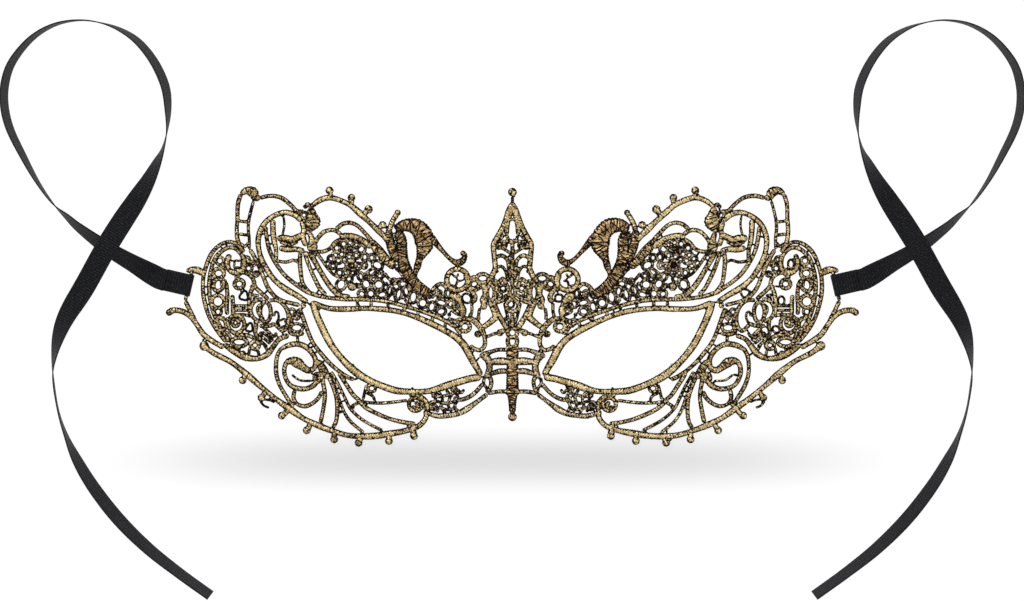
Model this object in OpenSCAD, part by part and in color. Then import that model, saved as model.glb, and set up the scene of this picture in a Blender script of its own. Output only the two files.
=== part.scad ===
// Guipure lace masquerade mask with two ribbon ties, lying face up.
// X runs along the brow, Y towards the crest and Z out of the face. The origin
// is the middle of the lace, on its back face.

/* [Mask] */
// Width of the lace over both side tails
mask_w = 222; // [190:1:260]
// Height of the lace from the lowest picot to the crest
mask_h = 84; // [72:1:98]
// Thickness of the corded motifs
cord_h = 1.6; // [1.2:0.1:2.2]
// Thickness of the fine net between them
net_h = 1.2; // [0.9:0.1:1.6]

/* [Cords] */
// Width of the heaviest cords, as round the eyes
bold_w = 1.9; // [1.6:0.1:2.3]
// Width of the main scroll cords
main_w = 1.5; // [1.2:0.1:1.9]
// Width of the lighter scroll cords
fine_w = 1.15; // [0.9:0.05:1.4]
// Width of the net cords and small rings
net_w = 0.85; // [0.7:0.05:1.1]
// Width of the bare threads
thread_w = 0.6; // [0.5:0.05:0.8]
// Diameter of the ball picots
picot_d = 2.6; // [2:0.1:3.4]

/* [Ribbons] */
// Width of the ribbon
ribbon_w = 7; // [5:0.5:8]
// Thickness of the ribbon
ribbon_t = 0.4; // [0.3:0.05:0.6]
// Length of the sewn fold round the bar
sleeve_l = 7.5; // [6:0.5:12]
// Diameter of the bar that the fold turns on
bar_d = 1.3; // [1:0.1:1.6]
// Gap between the bar and the fold
bar_gap = 0.06; // [0.02:0.01:0.1]

/* [Hidden] */

// The lace is drawn for one half, with x counted outwards from the middle. A
// cord is [width, [[x, y], ...]], and a point may add a width of its own. A
// ring is [width, [x, y, half length, half height, turn]]. A knot is a ball
// or filled spot, [diameter, [x, y]].
design_w = 222;
design_h = 84;

// Longest straight stretch along a curved cord, and along the ribbon
cord_step = 2.2;
ribbon_step = 3.5;
// Length of ribbon that leaves the fold's mouth in a straight line
straight_out = 2;

function placed(p) = [p[0] * mask_w / design_w, p[1] * mask_h / design_h];
// The same point in the drawing, before placed() moves it
function drawn(p) = [p[0] * design_w / mask_w, p[1] * design_h / mask_h];

// The bar of each side loop, which the ribbon's fold turns on. It leans from
// the Y axis by bar_turn, and its ends run into the cords above and below it.
bar_mid = placed([103.5, 10]);
bar_turn = 13;
loop_room = 1.6;
fold_r = bar_d / 2 + bar_gap + ribbon_t;
ground_gap = 0.05;
bar_z = fold_r + ground_gap;
bar_half = ribbon_w / 2 + loop_room;
outward = [cos(bar_turn), sin(bar_turn)];
along_bar = [-sin(bar_turn), cos(bar_turn)];
bar_top = drawn(bar_mid + bar_half * along_bar);
bar_foot = drawn(bar_mid - bar_half * along_bar);

// The ribbon's route over the table, from the fold's mouth to the free end:
// x, y, the ribbon's tilt from lying flat, and how far it is lifted where it
// passes over itself. It stands on its lower edge wherever it bends.
mouth = bar_mid + sleeve_l * outward;
mouth_lift = bar_z - ribbon_t / 2 - ground_gap;
drawn_mouth = [110.8, 11.7];
ROUTE = [
  [120.5, 16.5, 35, 0], [129.5, 21.8, 50, 0], [138.3, 28.2, 66, 0], [142.2, 31.7, 75, 0],
  [146.8, 36, 90, 0], [151.8, 43, 97, 0], [156.5, 51.5, 104, 0], [160.6, 60, 107, 0],
  [162.4, 67.5, 108, 0],
  [162.2, 74.5, 108, 0], [159.8, 81.5, 106, 0], [153.8, 88.8, 101, 0], [146.5, 93.2, 95, 0],
  [138.5, 94.7, 90, 0], [131.3, 93.8, 88, 0], [125, 91.5, 80, 0], [119.4, 87.6, 73, 0],
  [114.4, 81.2, 70, 0], [111, 73.6, 70, 0],
  [110.1, 66.4, 76, 0], [110.4, 59.5, 90, 0], [111.7, 53.6, 99, 0], [113.8, 48.8, 116, 0],
  [116.7, 43, 134, 0.5], [120.6, 36.6, 156, 1.6], [125, 29.8, 172, 3.9], [130, 21.6, 178, 5.6],
  [136.6, 9.8, 174, 3.6], [142.3, 0.5, 148, 1.1], [145, -6, 128, 0.2], [146.5, -13, 105, 0],
  [146.8, -19.6, 91, 0], [145.2, -30, 90, 0], [142.6, -38.2, 83, 0], [139, -46.1, 67, 0],
  [133.8, -54.7, 60, 0], [126, -64.7, 58, 0], [116.6, -74, 61, 0], [106.5, -82, 65, 0], [96.5, -89.2, 66, 0]
];

SPIRE = [cord_h,
  [
    [main_w, [[0, 36.5, 1], [1.1, 34, 1.6], [2, 31.5], [3.1, 28.5], [4.7, 25.5], [6, 23], [5.8, 19],
              [5.5, 15.5], [6.5, 13], [7, 11.5, 1]]],
    [main_w, [[0, 35.5, 1.8], [0.7, 33.5, 1.8], [1.5, 31, 1.7], [1.9, 28.5, 1.7], [1.8, 26, 1.2]]],
    [net_w, [[0, 31.5, 1.2], [1.5, 30.5]]],
    [net_w, [[1.8, 26], [1, 24], [0, 23.5]]],
    [net_w, [[6, 24.5], [3, 24], [0, 24.5]]],
    [fine_w, [[0, 24.5], [0, 20], [0, 16], [0, 12], [0, 9.5]]],
    [fine_w, [[6, 18.5], [3.5, 19.5], [1.5, 18], [1, 15], [0.5, 12]]],
    [net_w, [[5.8, 22.5], [3.5, 22], [1, 20.5], [0, 20]]],
    [net_w, [[5.5, 15.5], [3.5, 16], [2.2, 14.5], [1.5, 12], [0, 11]]],
    [fine_w, [[6.5, 11], [4.5, 11], [3, 12], [1.8, 10], [1.2, 8]]],
    [fine_w, [[5.5, 12], [5, 9.5], [5.5, 7], [5, 4.8]]],
    [fine_w, [[5.5, 4.5], [3.5, 5], [2.2, 6.5], [0, 7]]],
    [main_w, [[6, 4.5], [4.8, 1.5], [3.2, -1.5], [1.5, -4]]],
    [net_w, [[2.6, 4.5], [1.8, 1], [0.8, -2.5], [0, -3.5]]],
    [fine_w, [[0, 1.8], [0, 0], [0, -3.5]]],
    [fine_w, [[1.3, -5], [2.5, -4.5], [4, -5.2, 2.2]]],
    [fine_w, [[1.2, -6.5], [1.5, -8], [1.2, -9.5], [1.8, -10.5]]]
  ],
  [
    [net_w, [4, 25.8, 0.9, 0.6, 20]],
    [net_w, [2.6, 22.8, 0.6, 0.7, 0]],
    [net_w, [4.4, 22.5, 0.7, 0.7, 0]],
    [net_w, [3, 9, 1.1, 1, 0]],
    [fine_w, [0, 8, 0.9, 1.6, 0]],
    [net_w, [4.2, 7.2, 0.7, 0.9, 0]],
    [fine_w, [0, 3.5, 1.9, 1.9, 0]],
    [fine_w, [0, -5.2, 1.5, 1.5, 0]]
  ],
  [
    [2.4, [4, -5.2]], [1.6, [2.2, 6.3]], [1.4, [5, 14.5]], [1.8, [0, 13]], [1.6, [0, 20]]
  ]
];

FINIAL = [cord_h,
  [[net_w, [[0, 38.4], [0, 36.2]]]],
  [],
  [[2.9, [0, 39.8]]]
];

NOSE_BLADE = [cord_h,
  [[bold_w, [[0, -9, 3], [0, -12, 3.4], [0, -18, 3.3], [0, -22.5, 3.3], [0, -24, 4], [0, -26, 2.5],
             [0, -31, 1.9]]]],
  [],
  [[2.9, [0, -32.1]]]
];

CROSS_BARS = [net_h,
  [
    [fine_w, [[0, -10.8], [4, -10.6], [6.5, -11.2], [9, -12.2, 1.6], [10.5, -13]]],
    [main_w, [[0, -14.6], [3.5, -14.3, 2.2], [7.5, -14.6]]],
    [fine_w, [[0, -17.6], [4, -17.5, 1.6], [7.5, -18.6]]],
    [fine_w, [[0, -24.2], [4, -24], [8, -24.6]]],
    [main_w, [[9.8, -13, 1.8], [8, -13.5, 2.2], [7.3, -16, 1.8], [7.8, -18.5, 1.8], [9, -19.3]]],
    [fine_w, [[7.6, -18.8], [6.8, -20.5], [7, -22.5], [8, -24.6]]],
    [net_w, [[9, -19.5], [9.2, -21.5], [8.2, -23], [8.2, -24.4]]]
  ],
  [[net_w, [3.3, -14.3, 0.5, 0.3, 0]]],
  []
];

EYE_RIM = [cord_h,
  [
    [main_w, [[64, 4.5], [58.5, 2.6], [52, 2.4], [45.5, 2.6], [36, 1.5], [26.5, -2, 1.7], [17, -7.5, 2],
              [12.5, -14.5, 2], [10, -19, 1.6]]],
    [bold_w, [[64, 5], [62, -1, 2.1], [57, -10.5], [49, -18.6, 2.1], [39, -23.2], [33, -24, 1.7],
              [26.5, -23.8, 1.6], [20, -21.8, 2.2], [14, -20, 2], [10, -19.3]]]
  ],
  [],
  [[1, [54, -13]], [0.9, [51, -15.5]], [0.9, [32, -23]]]
];

LOWER_EDGE = [cord_h,
  [
    [main_w, [[98.5, -9.5, 2], [97, -10.7], [95, -12], [90, -14.6], [85, -18.5, 1.8], [81, -22],
              [75.5, -26.5], [71, -29.7, 1.9], [67, -32.5], [62.5, -34.7, 1.7], [57.5, -36.6],
              [52, -38.1], [45.5, -38.3, 1.7], [40, -37.6, 1.9], [34.5, -36.6], [30, -35], [27.7, -32.3],
              [27.8, -29.8]]],
    [main_w, [[85.5, -18.5], [86.2, -20.5]]],
    [main_w, [[79, -24], [80.3, -26.2]]],
    [main_w, [[71.5, -29.5], [73.5, -31.8]]],
    [main_w, [[64.5, -34], [65.8, -36.8]]],
    [main_w, [[57, -37], [57, -39.4]]],
    [main_w, [[48.5, -38.3], [49.2, -40.5]]],
    [main_w, [[39.5, -38], [39.5, -40]]],
    [main_w, [[32, -34.5], [31.5, -38.2, 2]]],
    [thread_w, [[80.8, -27], [79.5, -28.5], [77.8, -29.2]]],
    [thread_w, [[79.8, -26.5], [77.5, -26.8], [76, -27.5]]]
  ],
  [],
  [
    [3.2, [98.6, -9.4]], [picot_d, [86.3, -20.4]], [picot_d, [80.3, -26]], [picot_d, [73.8, -31.7]],
    [picot_d, [65.8, -36.4]], [picot_d, [57, -39.3]], [picot_d, [49.2, -40.4]], [picot_d, [39.5, -39.8]],
    [picot_d, [31.5, -38.2]]
  ]
];

SIDE_LOOP = [cord_h,
  [
    [main_w, [concat(bar_top + [2, -0.4], 1), concat(bar_top, 1.8), [100.3, 14.6, 2], [98.6, 13.4, 1.4]]],
    [fine_w, [concat(bar_foot, 1.3), [103.4, 2.4], [102, -0.4], [101.3, -2]]]
  ],
  [],
  []
];

SIDE_TAIL = [cord_h,
  [
    [main_w, [[110, 1.2, 2.2], [108.3, 2], [105.5, 1.6], [103, 0], [101, -2.5], [99, -5.5], [96.5, -7.5],
              [94, -9], [92.2, -10, 1.7]]]
  ],
  [],
  [[2.3, [109.8, 1.3]]]
];

CRESCENT = [cord_h,
  [
    [main_w, [[67.5, 30.5], [69.5, 32.4], [73, 33.3], [77, 31.8], [79.7, 29.2], [81.2, 25.5], [81.2, 22],
              [80.3, 18.5], [78.5, 15], [76, 11.6], [72.5, 8.8, 1.8], [69, 6.8], [65.5, 4.4]]],
    [fine_w, [[79, 28], [78.5, 24.5], [77.8, 21.5], [76.5, 18.5], [75, 16], [73, 13.4], [70.5, 11.2],
              [68, 9.4], [66, 8]]],
    [main_w, [[76.6, 31], [76.6, 27.5], [76.2, 24], [75.6, 21.2, 1.2], [75.6, 17.5, 1.1]]],
    [bold_w, [[75.3, 25], [72.5, 25], [70.5, 24.6], [68.5, 25.4], [67, 26.6, 1.2]]],
    [main_w, [[74.7, 22], [72, 21.5, 1.7], [69, 21.5, 1.6], [66.5, 20.8]]],
    [net_w, [[74.5, 24], [71.3, 22.9], [68.5, 24]]],
    [net_w, [[75.3, 17.8], [72.5, 17.4], [70, 18], [68.2, 17.2]]],
    [thread_w, [[73.2, 31.8], [73, 29], [73.6, 26]]],
    [main_w, [[67.5, 30.5], [66.7, 28], [67, 25.5], [66, 22.5]]],
    [fine_w, [[84, 21.5], [82.5, 19], [81, 16, 1.3], [79.6, 12.5], [78.2, 9.2], [76, 6.5], [73.5, 5],
              [70.5, 4.2], [68, 3.6]]],
    [main_w, [[67.2, 4.5], [66.6, 2.6]]]
  ],
  [],
  [[1.6, [71.3, 22.9]], [2, [66.5, 5]], [1.8, [79, 28]]]
];

CREST_ARCH = [cord_h,
  [
    [main_w, [[64.5, 35, 1.2], [62, 37], [59, 38], [56, 37.5], [52, 35.7], [49, 33.2, 1.8], [46, 30.5],
              [43, 27.6, 1.8], [40.5, 25], [38, 21], [36.5, 18]]],
    [fine_w, [[58.2, 38.2], [58.4, 40]]],
    [main_w, [[51.5, 35.8], [51.5, 38]]],
    [main_w, [[47.5, 32.5], [46.2, 34.4]]],
    [main_w, [[43, 28], [41.6, 29.4]]],
    [main_w, [[39.5, 27], [38.6, 30], [36.8, 33]]],
    [fine_w, [[63.5, 22.5], [62.3, 25], [60, 27.2], [57, 27.6], [54.6, 26]]],
    [fine_w, [[56.5, 27.8], [54.5, 29.5], [52, 30], [49.5, 29], [47, 26.5], [44.8, 24]]],
    [main_w, [[54.6, 26], [51.5, 25.6, 1.8], [49, 25], [46.8, 23.5, 2], [45, 22]]],
    [bold_w, [[45, 22.5, 1.6], [42.5, 20.5, 2.4], [40, 17.8, 2.4], [37.4, 15.6, 2.2]]],
    [net_w, [[44.8, 24.5], [42, 21.8], [39.8, 19], [38.3, 17.2]]],
    [fine_w, [[63, 20.8], [60.5, 20.8], [58.3, 21.8], [56.8, 23.6], [54.8, 24.8]]]
  ],
  [],
  [
    [2.7, [58.5, 40.3]], [picot_d, [51.5, 38]], [2.8, [46, 34.3]], [picot_d, [41.5, 29.3]],
           [2.1, [36.7, 33.2]],
    [2.2, [54.3, 25.6]], [1.8, [44.8, 23.8]]
  ]
];

CREST_LOOP = [cord_h,
  [
    [fine_w, [[86.8, 39.2], [87.8, 36], [88, 31], [88.2, 28], [88, 25], [87, 22], [86.5, 20.5]]],
    [net_w, [[82.8, 37], [83.5, 34.5], [84.3, 31], [84.5, 28], [84.2, 25], [84.2, 21.5]]],
    [main_w, [[87, 39, 1.2], [85.2, 40.2, 2], [83.2, 39.8, 2.8], [82, 38.2, 2.2], [80.5, 38, 1.3]]],
    [fine_w, [[80.8, 37.9], [77.5, 38.6], [74, 38], [71, 35.8], [69, 33.8], [66.6, 33.6]]],
    [net_w, [[87.8, 30.6], [84.5, 30.2]]],
    [net_w, [[87.5, 26.4], [84.4, 26]]],
    [net_w, [[87.2, 23.5], [85.5, 22.5], [84.4, 23.8]]]
  ],
  [],
  [[2.6, [83.2, 40]]]
];

SIDE_ROSETTE = [cord_h,
  [
    [fine_w, [[85.8, 20.5], [87.4, 22.5], [90, 23.8], [93, 23.2], [95.8, 20.8], [97.5, 17.5], [98.8, 13],
              [99, 8.5], [98.4, 4.5], [97, 0], [94.8, -4], [91.5, -8.2]]],
    [fine_w, [[85.8, 18.5], [88.3, 21.5], [91, 22], [93.8, 20.2], [95.6, 17.5], [96.8, 13], [97, 8.5],
              [96.4, 4], [95.2, 0], [93, -4], [90.5, -8]]],
    [main_w, [[92.2, -8.8], [89, -11.2, 1.8], [85.5, -13, 1.9], [81.5, -13.4], [78.4, -12, 1.8],
              [76.4, -9.5], [74.5, -7.2, 1.3], [71.5, -6]]],
    [main_w, [[86.4, 20], [85.8, 17], [86.6, 14.6], [88.6, 14, 1.8], [90.6, 15, 1.4], [91.2, 17.5],
              [90.4, 20]]],
    [fine_w, [[91.6, 11], [91.2, 7], [91.4, 3], [91.2, 0.5]]],
    [fine_w, [[89.6, 7], [89.4, 3.5], [89.4, 0.5]]],
    [fine_w, [[88.8, 12], [86.5, 14], [83.8, 13], [82.6, 10.5], [83.8, 7.5], [84.2, 4], [84, 0.5]]],
    [net_w, [[89.4, 3.4], [84.2, 3.4]]],
    [net_w, [[89.4, 2], [84.2, 2]]],
    [net_w, [[89, 0.4], [86, 0.6], [83.8, 0]]],
    [fine_w, [[79.8, 5.6], [82.6, 4.8], [83.8, 2.2], [82.8, -0.4], [80.4, -1.8]]],
    [net_w, [[79.4, 4.4], [81.4, 3], [81.2, 1], [79.8, 0]]],
    [fine_w, [[77.8, 5.2], [75, 5, 1], [72.6, 3], [71.6, 0], [72, -3], [73.4, -4.6], [75, -3.4],
              [76, -2.2]]],
    [thread_w, [[75.6, -2.2], [74.8, -0.5], [75, 1.2], [75.9, 1.4], [76.2, 0]]],
    [fine_w, [[81, -3], [78, -3], [75.8, -2.2]]],
    [net_w, [[80, -3.2], [78, -5], [76.4, -6.4], [75.4, -5]]],
    [fine_w, [[82.2, -0.6], [82, -3], [82.2, -5.5], [80, -7.6]]],
    [fine_w, [[83, 12.8], [82.4, 9.8], [80.4, 7.6], [78, 5.4]]],
    [net_w, [[84, 9.8], [81.6, 8.8]]],
    [net_w, [[83.6, 7], [81, 6.6]]],
    [fine_w, [[94.8, 12], [93, 11.8], [92, 10.6]]],
    [fine_w, [[91.8, -0.4], [93.2, -0.6], [95, 0.6]]],
    [net_w, [[82.6, -6.4], [80.4, -8], [78.4, -9.8]]],
    [net_w, [[81.4, -5.6], [79, -7.4], [77.4, -8.8]]],
    [net_w, [[80.2, -4.8], [78, -6.6], [76.4, -7.8]]],
    [fine_w, [[90.6, -4], [88.4, -5.6], [85, -6], [82.4, -7]]],
    [net_w, [[89, -9], [87, -11]]],
    [net_w, [[84, -9.8], [84.4, -12.4]]],
    [net_w, [[81.4, -10.8], [81, -13]]],
    [net_w, [[79.6, -8.8], [78, -11.4]]]
  ],
  [
    [net_w, [93.6, 17.8, 1.2, 1.2, 0]],
    [net_w, [92.6, 15.6, 0.8, 0.8, 0]],
    [fine_w, [94, 13.8, 1.7, 1.5, 0]],
    [fine_w, [94, 10.2, 1.6, 2.1, 20]],
    [net_w, [92.4, 10.6, 0.7, 1, 0]],
    [fine_w, [94.2, 4.8, 2, 2, 0]],
    [net_w, [94.2, 1.6, 1.1, 1.3, 0]],
    [fine_w, [93.4, -2.4, 1.7, 2, -25]],
    [fine_w, [88.4, -2.4, 2.6, 2.8, 0]],
    [fine_w, [88.6, -2, 1, 1.1, 0]],
    [fine_w, [87.4, 10.4, 1.5, 1.4, 0]],
    [net_w, [91.4, -6.4, 0.9, 1.6, -35]],
    [fine_w, [87.4, -8.2, 2.4, 1.4, 0]],
    [fine_w, [82.4, -9.2, 1.3, 1.2, 0]],
    [net_w, [85, 18.2, 0.9, 0.9, 0]],
    [net_w, [84.4, 15.4, 1.1, 1.1, 0]],
    [net_w, [83, 17, 0.7, 0.7, 0]],
    [net_w, [82, 13.6, 0.7, 0.7, 0]],
    [fine_w, [79, 1.4, 1.7, 3.2, 0]]
  ],
  [
    [2.2, [87.4, 14.6]], [2, [90, -9.6]], [2, [86.2, -11.8]], [1.8, [95.6, 11.4]], [1.6, [82.4, 5.6]],
    [1.8, [91, -1]], [1.8, [80.4, -5.6]], [1.6, [77.4, -7.6]]
  ]
];

SWAN_SCROLL = [cord_h,
  [
    [3.2, [[37, 27.4, 2.6], [35.6, 24.5], [35.4, 21], [35, 17.5], [33.6, 14.2], [31.6, 11.2], [29, 8.6],
           [26, 7, 2.4]]],
    [2, [[39.6, 27.8], [39.2, 24.5, 2.4], [38.3, 21, 2.6], [36.8, 17.5, 2]]],
    [4.5, [[37.4, 27.8, 2.4], [34.2, 29.2, 3.6], [30.8, 28.6, 4.8], [28.6, 26, 5.2], [28.2, 22.8, 5],
           [29, 20.2, 3.2], [29.8, 18.2, 2], [30.4, 16, 2], [31, 14, 1.2], [31.2, 12, 1]]],
    [1.8, [[26.4, 26, 2], [24.4, 23.4], [22, 20.6, 1.2], [19.6, 18.2, 1.2], [17.6, 17.2, 1.8],
           [16, 17.8, 1.9], [15.2, 19.4, 1.4], [15.7, 20.4, 1.5]]]
  ],
  [],
  [[1.9, [15.8, 20.2]]]
];

BRIDGE_RING = [cord_h,
  [
    [fine_w, [[18, 15.8], [17.6, 17]]],
    [main_w, [[15.2, 13.8, 1.8], [14.2, 11.5, 1.8], [15, 8.8, 1.4]]],
    [fine_w, [[26, 7.6], [24.6, 9.6], [22.6, 10.4], [20.8, 9]]],
    [net_w, [[20.4, 9.8], [18.4, 9.6], [17.6, 8.6]]],
    [thread_w, [[19.4, 13.6], [18, 12.6], [17.2, 13.8]]],
    [thread_w, [[18, 9.8], [17.6, 11.2], [16.2, 11.4]]]
  ],
  [[main_w, [17.6, 11.8, 3.4, 3.4, 0]]],
  [[1.4, [14.6, 14]]]
];

BRIDGE_SCROLL = [cord_h,
  [
    [main_w, [[14, 9.4], [12.8, 7.8], [12, 6], [12.8, 4.4]]],
    [net_w, [[13, 4.4], [13, 1.5], [13.6, -0.6]]],
    [main_w, [[10, 10.4], [8.8, 9.2, 1.9], [8.8, 7], [9.6, 5.4], [9, 3.6, 1.9], [10.2, 2.6]]],
    [net_w, [[10.4, 2.8], [10.8, 0.5], [10.6, -1.2]]],
    [main_w, [[7.4, 4.8], [6.2, 2.4], [5.4, 0, 1.8], [6.4, -1.2, 1.7], [8, -2.5], [9.6, -3.6]]],
    [fine_w, [[13.8, 11.6], [12.2, 12.6], [11, 11.2], [10, 9.6]]],
    [fine_w, [[16, -0.6], [13.6, -0.8], [11.6, -2.4], [10, -4.4], [8.9, -6.8], [8.9, -9.2], [10.2, -10.7],
              [12, -10.4], [13.6, -9.2]]],
    [fine_w, [[14, -0.2], [11.8, -1.4], [9.8, -3.6], [8.8, -6]]],
    [net_w, [[8.8, -6.8], [6, -5.6], [4.2, -5.2]]],
    [net_w, [[9.6, -3.4], [7, -2], [5.4, -1]]],
    [net_w, [[15.2, 8.6], [12.4, 8.2], [9.8, 9.4]]],
    [fine_w, [[20.4, 6.6, 1.2], [18, 6.2, 2.4], [16.4, 4, 1.4], [16, 2, 2.2], [15.8, -0.4, 1.2]]],
    [net_w, [[19.4, 2], [17.6, 0.8], [16, 0.4]]],
    [net_w, [[20.4, -0.6], [18.4, -1.2], [16.4, -1]]],
    [fine_w, [[18.8, -2.4], [17.6, -4.2], [16.4, -5.8]]]
  ],
  [
    [fine_w, [9.5, 12.2, 1.9, 1.4, 0]],
    [net_w, [7.2, 11.6, 0.8, 0.8, 0]],
    [fine_w, [12.2, 10.4, 1.5, 1.3, -30]],
    [fine_w, [6.9, 7.6, 1.2, 2.6, 0]],
    [fine_w, [15.2, -3.3, 1.6, 1.5, 0]],
    [net_w, [11, -5.6, 0.7, 0.6, 0]],
    [net_w, [17, -1.4, 0.7, 0.6, 0]],
    [net_w, [18.4, 3.2, 0.6, 0.9, -30]]
  ],
  [
    [2.4, [18.2, 6]], [2, [16.6, 2.4]], [2, [18.4, -1.6]], [1.8, [9, 4.6]], [1.6, [15.2, -0.6]],
           [1.4, [18.2, -3.4]]
  ]
];

CREST_LEAF = [cord_h,
  [
    [1.5, [[64.3, 35, 1.8], [64.3, 32.8, 3], [64, 30.4, 4.8], [64.6, 28.4, 3.2], [65, 27, 1.4]]],
    [main_w, [[65, 27, 1.4], [64.2, 24.8, 1.8], [64, 22.4, 3], [64.2, 20.4, 2.6]]],
    [fine_w, [[66.4, 35.6], [65.4, 35.8], [64.6, 35]]]
  ],
  [[net_w, [66.7, 32.4, 1, 1, 0]]],
  [[1.6, [66.2, 35.2]]]
];

CREST_STEMS = [cord_h,
  [
    [fine_w, [[67.8, 20.6], [68, 17.5], [67.7, 14], [67.2, 11], [66, 8.9], [64.8, 7.6]]],
    [fine_w, [[66.4, 20.2], [65.4, 17.2], [64.3, 14.4], [63, 11.6], [61.6, 9], [59.6, 6.8]]],
    [main_w, [[64.8, 20.4], [63.2, 17.6], [61.6, 14.8], [59.8, 11.8], [57.6, 8.8], [55.2, 6.8],
              [51.8, 6.2]]],
    [net_w, [[63, 21], [61, 18.2], [59.2, 15.6], [57.4, 13.6], [55.6, 12.6]]]
  ],
  [],
  [[2, [66, 20]], [1.8, [63.4, 19.6]]]
];

LOWER_SCROLL = [cord_h,
  [
    [fine_w, [[73.6, -9.8], [75, -12], [75.6, -15], [75.5, -18.5], [74.4, -22], [72.4, -25.5],
              [70.4, -28.6]]],
    [main_w, [[74, -10.4, 1.2], [71.6, -9.2], [68.6, -8.8], [66, -9.8], [64, -11.8], [63, -14],
              [63.4, -16.4], [65.2, -17.2, 1.8], [67, -16.2, 2.1], [68.8, -14.8, 2.9], [70.8, -14.2, 2.2],
              [72.4, -15, 1.4], [73, -17.2, 1.3], [72.5, -19.8, 1.2], [71, -22, 1.2], [68.6, -23, 1.4],
              [66, -23.1, 1.4], [63.6, -22], [62, -20, 1.2], [61, -17.8, 1.2]]],
    [fine_w, [[69.6, -23.4], [70, -26], [68.8, -28, 1], [66.4, -28.7], [64, -27.8], [62, -26],
              [60.9, -23.8]]],
    [thread_w, [[70.6, -18.6], [68, -20.4], [64.4, -20.6]]],
    [fine_w, [[69.8, -27.4], [71.4, -29.6]]],
    [fine_w, [[72.6, 3.3], [71.2, 0], [70.8, -2.5], [71.2, -5], [69, -5.8], [66.6, -5.2]]],
    [net_w, [[68.8, -5.8], [68.6, -8.6]]]
  ],
  [
    [net_w, [69, -3.6, 1.9, 1.3, 0]],
    [net_w, [70.6, 1.4, 1, 1, 0]],
    [net_w, [69, 0, 0.7, 0.9, 0]]
  ],
  [[1.8, [70.8, -1.6]], [1.6, [68.4, 1.8]]]
];

PETAL_FAN = [cord_h,
  [
    [fine_w, [[68.2, 2.8], [66.8, -1], [65.5, -4.6], [63.8, -8.4], [61.4, -11.6], [58.6, -14.8],
              [55.6, -17.4], [52.6, -19.4], [50.6, -20.2]]],
    [main_w, [[62.8, -14], [61.4, -15.6, 2.2], [60, -18, 2.4], [59, -20, 1.6]]],
    [fine_w, [[61.2, -17], [60.6, -21], [60, -25], [60.4, -29], [61.4, -34]]],
    [fine_w, [[59.6, -17.5], [57.8, -21.5], [56.4, -25.5], [56, -29.5], [56.4, -33.5], [57.6, -35.8]]],
    [net_w, [[58.8, -18.5], [56.8, -22.5], [55.4, -26.5], [53.8, -30.6], [51.6, -33.8], [47.5, -37.2]]],
    [net_w, [[58, -17.6], [55.4, -22.2], [53.6, -26], [51.8, -29.5], [48.6, -32.6], [45, -34.8],
             [41.6, -36.5]]],
    [fine_w, [[55.6, -18], [53, -22], [50.8, -25.2], [48.6, -27]]],
    [net_w, [[49, -27], [45.5, -27.6], [42, -27.7], [38, -27.4], [33.6, -26.8]]],
    [fine_w, [[49.6, -26.6], [46.8, -29.2], [43, -31.2], [39, -32.8], [35, -33.8], [31, -34.4]]],
    [net_w, [[51.6, -28.8], [49, -27.4]]],
    [net_w, [[46.6, -21.8], [47.2, -24], [47.8, -26.6]]],
    [net_w, [[46.8, -24.4], [44.8, -25.4], [44, -27]]]
  ],
  [[net_w, [45, -23, 1.2, 1.1, 0]], [fine_w, [62.4, -19.6, 0.9, 1.3, 0]]],
  [[2.4, [60.6, -16.4]], [1.8, [49, -27.2]], [1.6, [51.2, -29]]]
];

GRAPE_ROSETTE = [net_h,
  [
    [net_w, [[51.4, 17.6], [51.2, 19.8]]],
    [net_w, [[53, 16.8], [54.2, 18]]],
    [net_w, [[50, 16.6], [48.4, 17.2]]],
    [net_w, [[53, 15.4], [55, 15]]],
    [net_w, [[50.4, 15.2], [49.2, 13.4]]],
    [net_w, [[51.8, 14.6], [52, 13]]],
    [net_w, [[53.6, 22], [50.4, 21.6]]],
    [net_w, [[54.8, 21], [50.8, 20.6]]]
  ],
  [
    [net_w, [54, 23.2, 1.1, 1.1, 0]],
    [net_w, [51.9, 23.6, 1, 0.9, 0]],
    [net_w, [49.8, 22.9, 1, 0.9, 0]],
    [net_w, [56.2, 21.9, 1.1, 1.1, 0]],
    [net_w, [56.6, 19.6, 1, 1, 0]],
    [net_w, [54.6, 19.9, 1, 1, 0]],
    [net_w, [58, 18.5, 1, 1, 0]],
    [net_w, [55.7, 17.9, 1, 1, 0]],
    [net_w, [52, 19.1, 1.2, 0.9, 0]],
    [net_w, [50, 19.5, 1, 1, 0]],
    [net_w, [48.4, 21.6, 1.3, 1.3, 0]],
    [net_w, [47.2, 19, 1, 1.2, 0]],
    [net_w, [57.4, 16.2, 1, 0.9, 0]],
    [net_w, [55.3, 14, 1.1, 1.1, 0]],
    [net_w, [53.4, 13.9, 0.9, 0.9, 0]],
    [net_w, [51.2, 14, 0.9, 0.9, 0]],
    [net_w, [52.3, 12, 1.1, 1, -30]],
    [net_w, [48.5, 12.8, 0.9, 1.3, -20]],
    [fine_w, [51.6, 16.4, 1.5, 1.5, 0]],
    [net_w, [54.8, 10.2, 1.5, 1.8, 25]],
    [net_w, [49.2, 16.2, 0.9, 0.9, 0]],
    [net_w, [47.4, 16.4, 0.8, 1, 0]]
  ],
  [[3, [51.3, 9.6]], [1.8, [51.6, 16.4]], [1.6, [49.4, 14.4]], [2, [49.2, 9.8]]]
];

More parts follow.
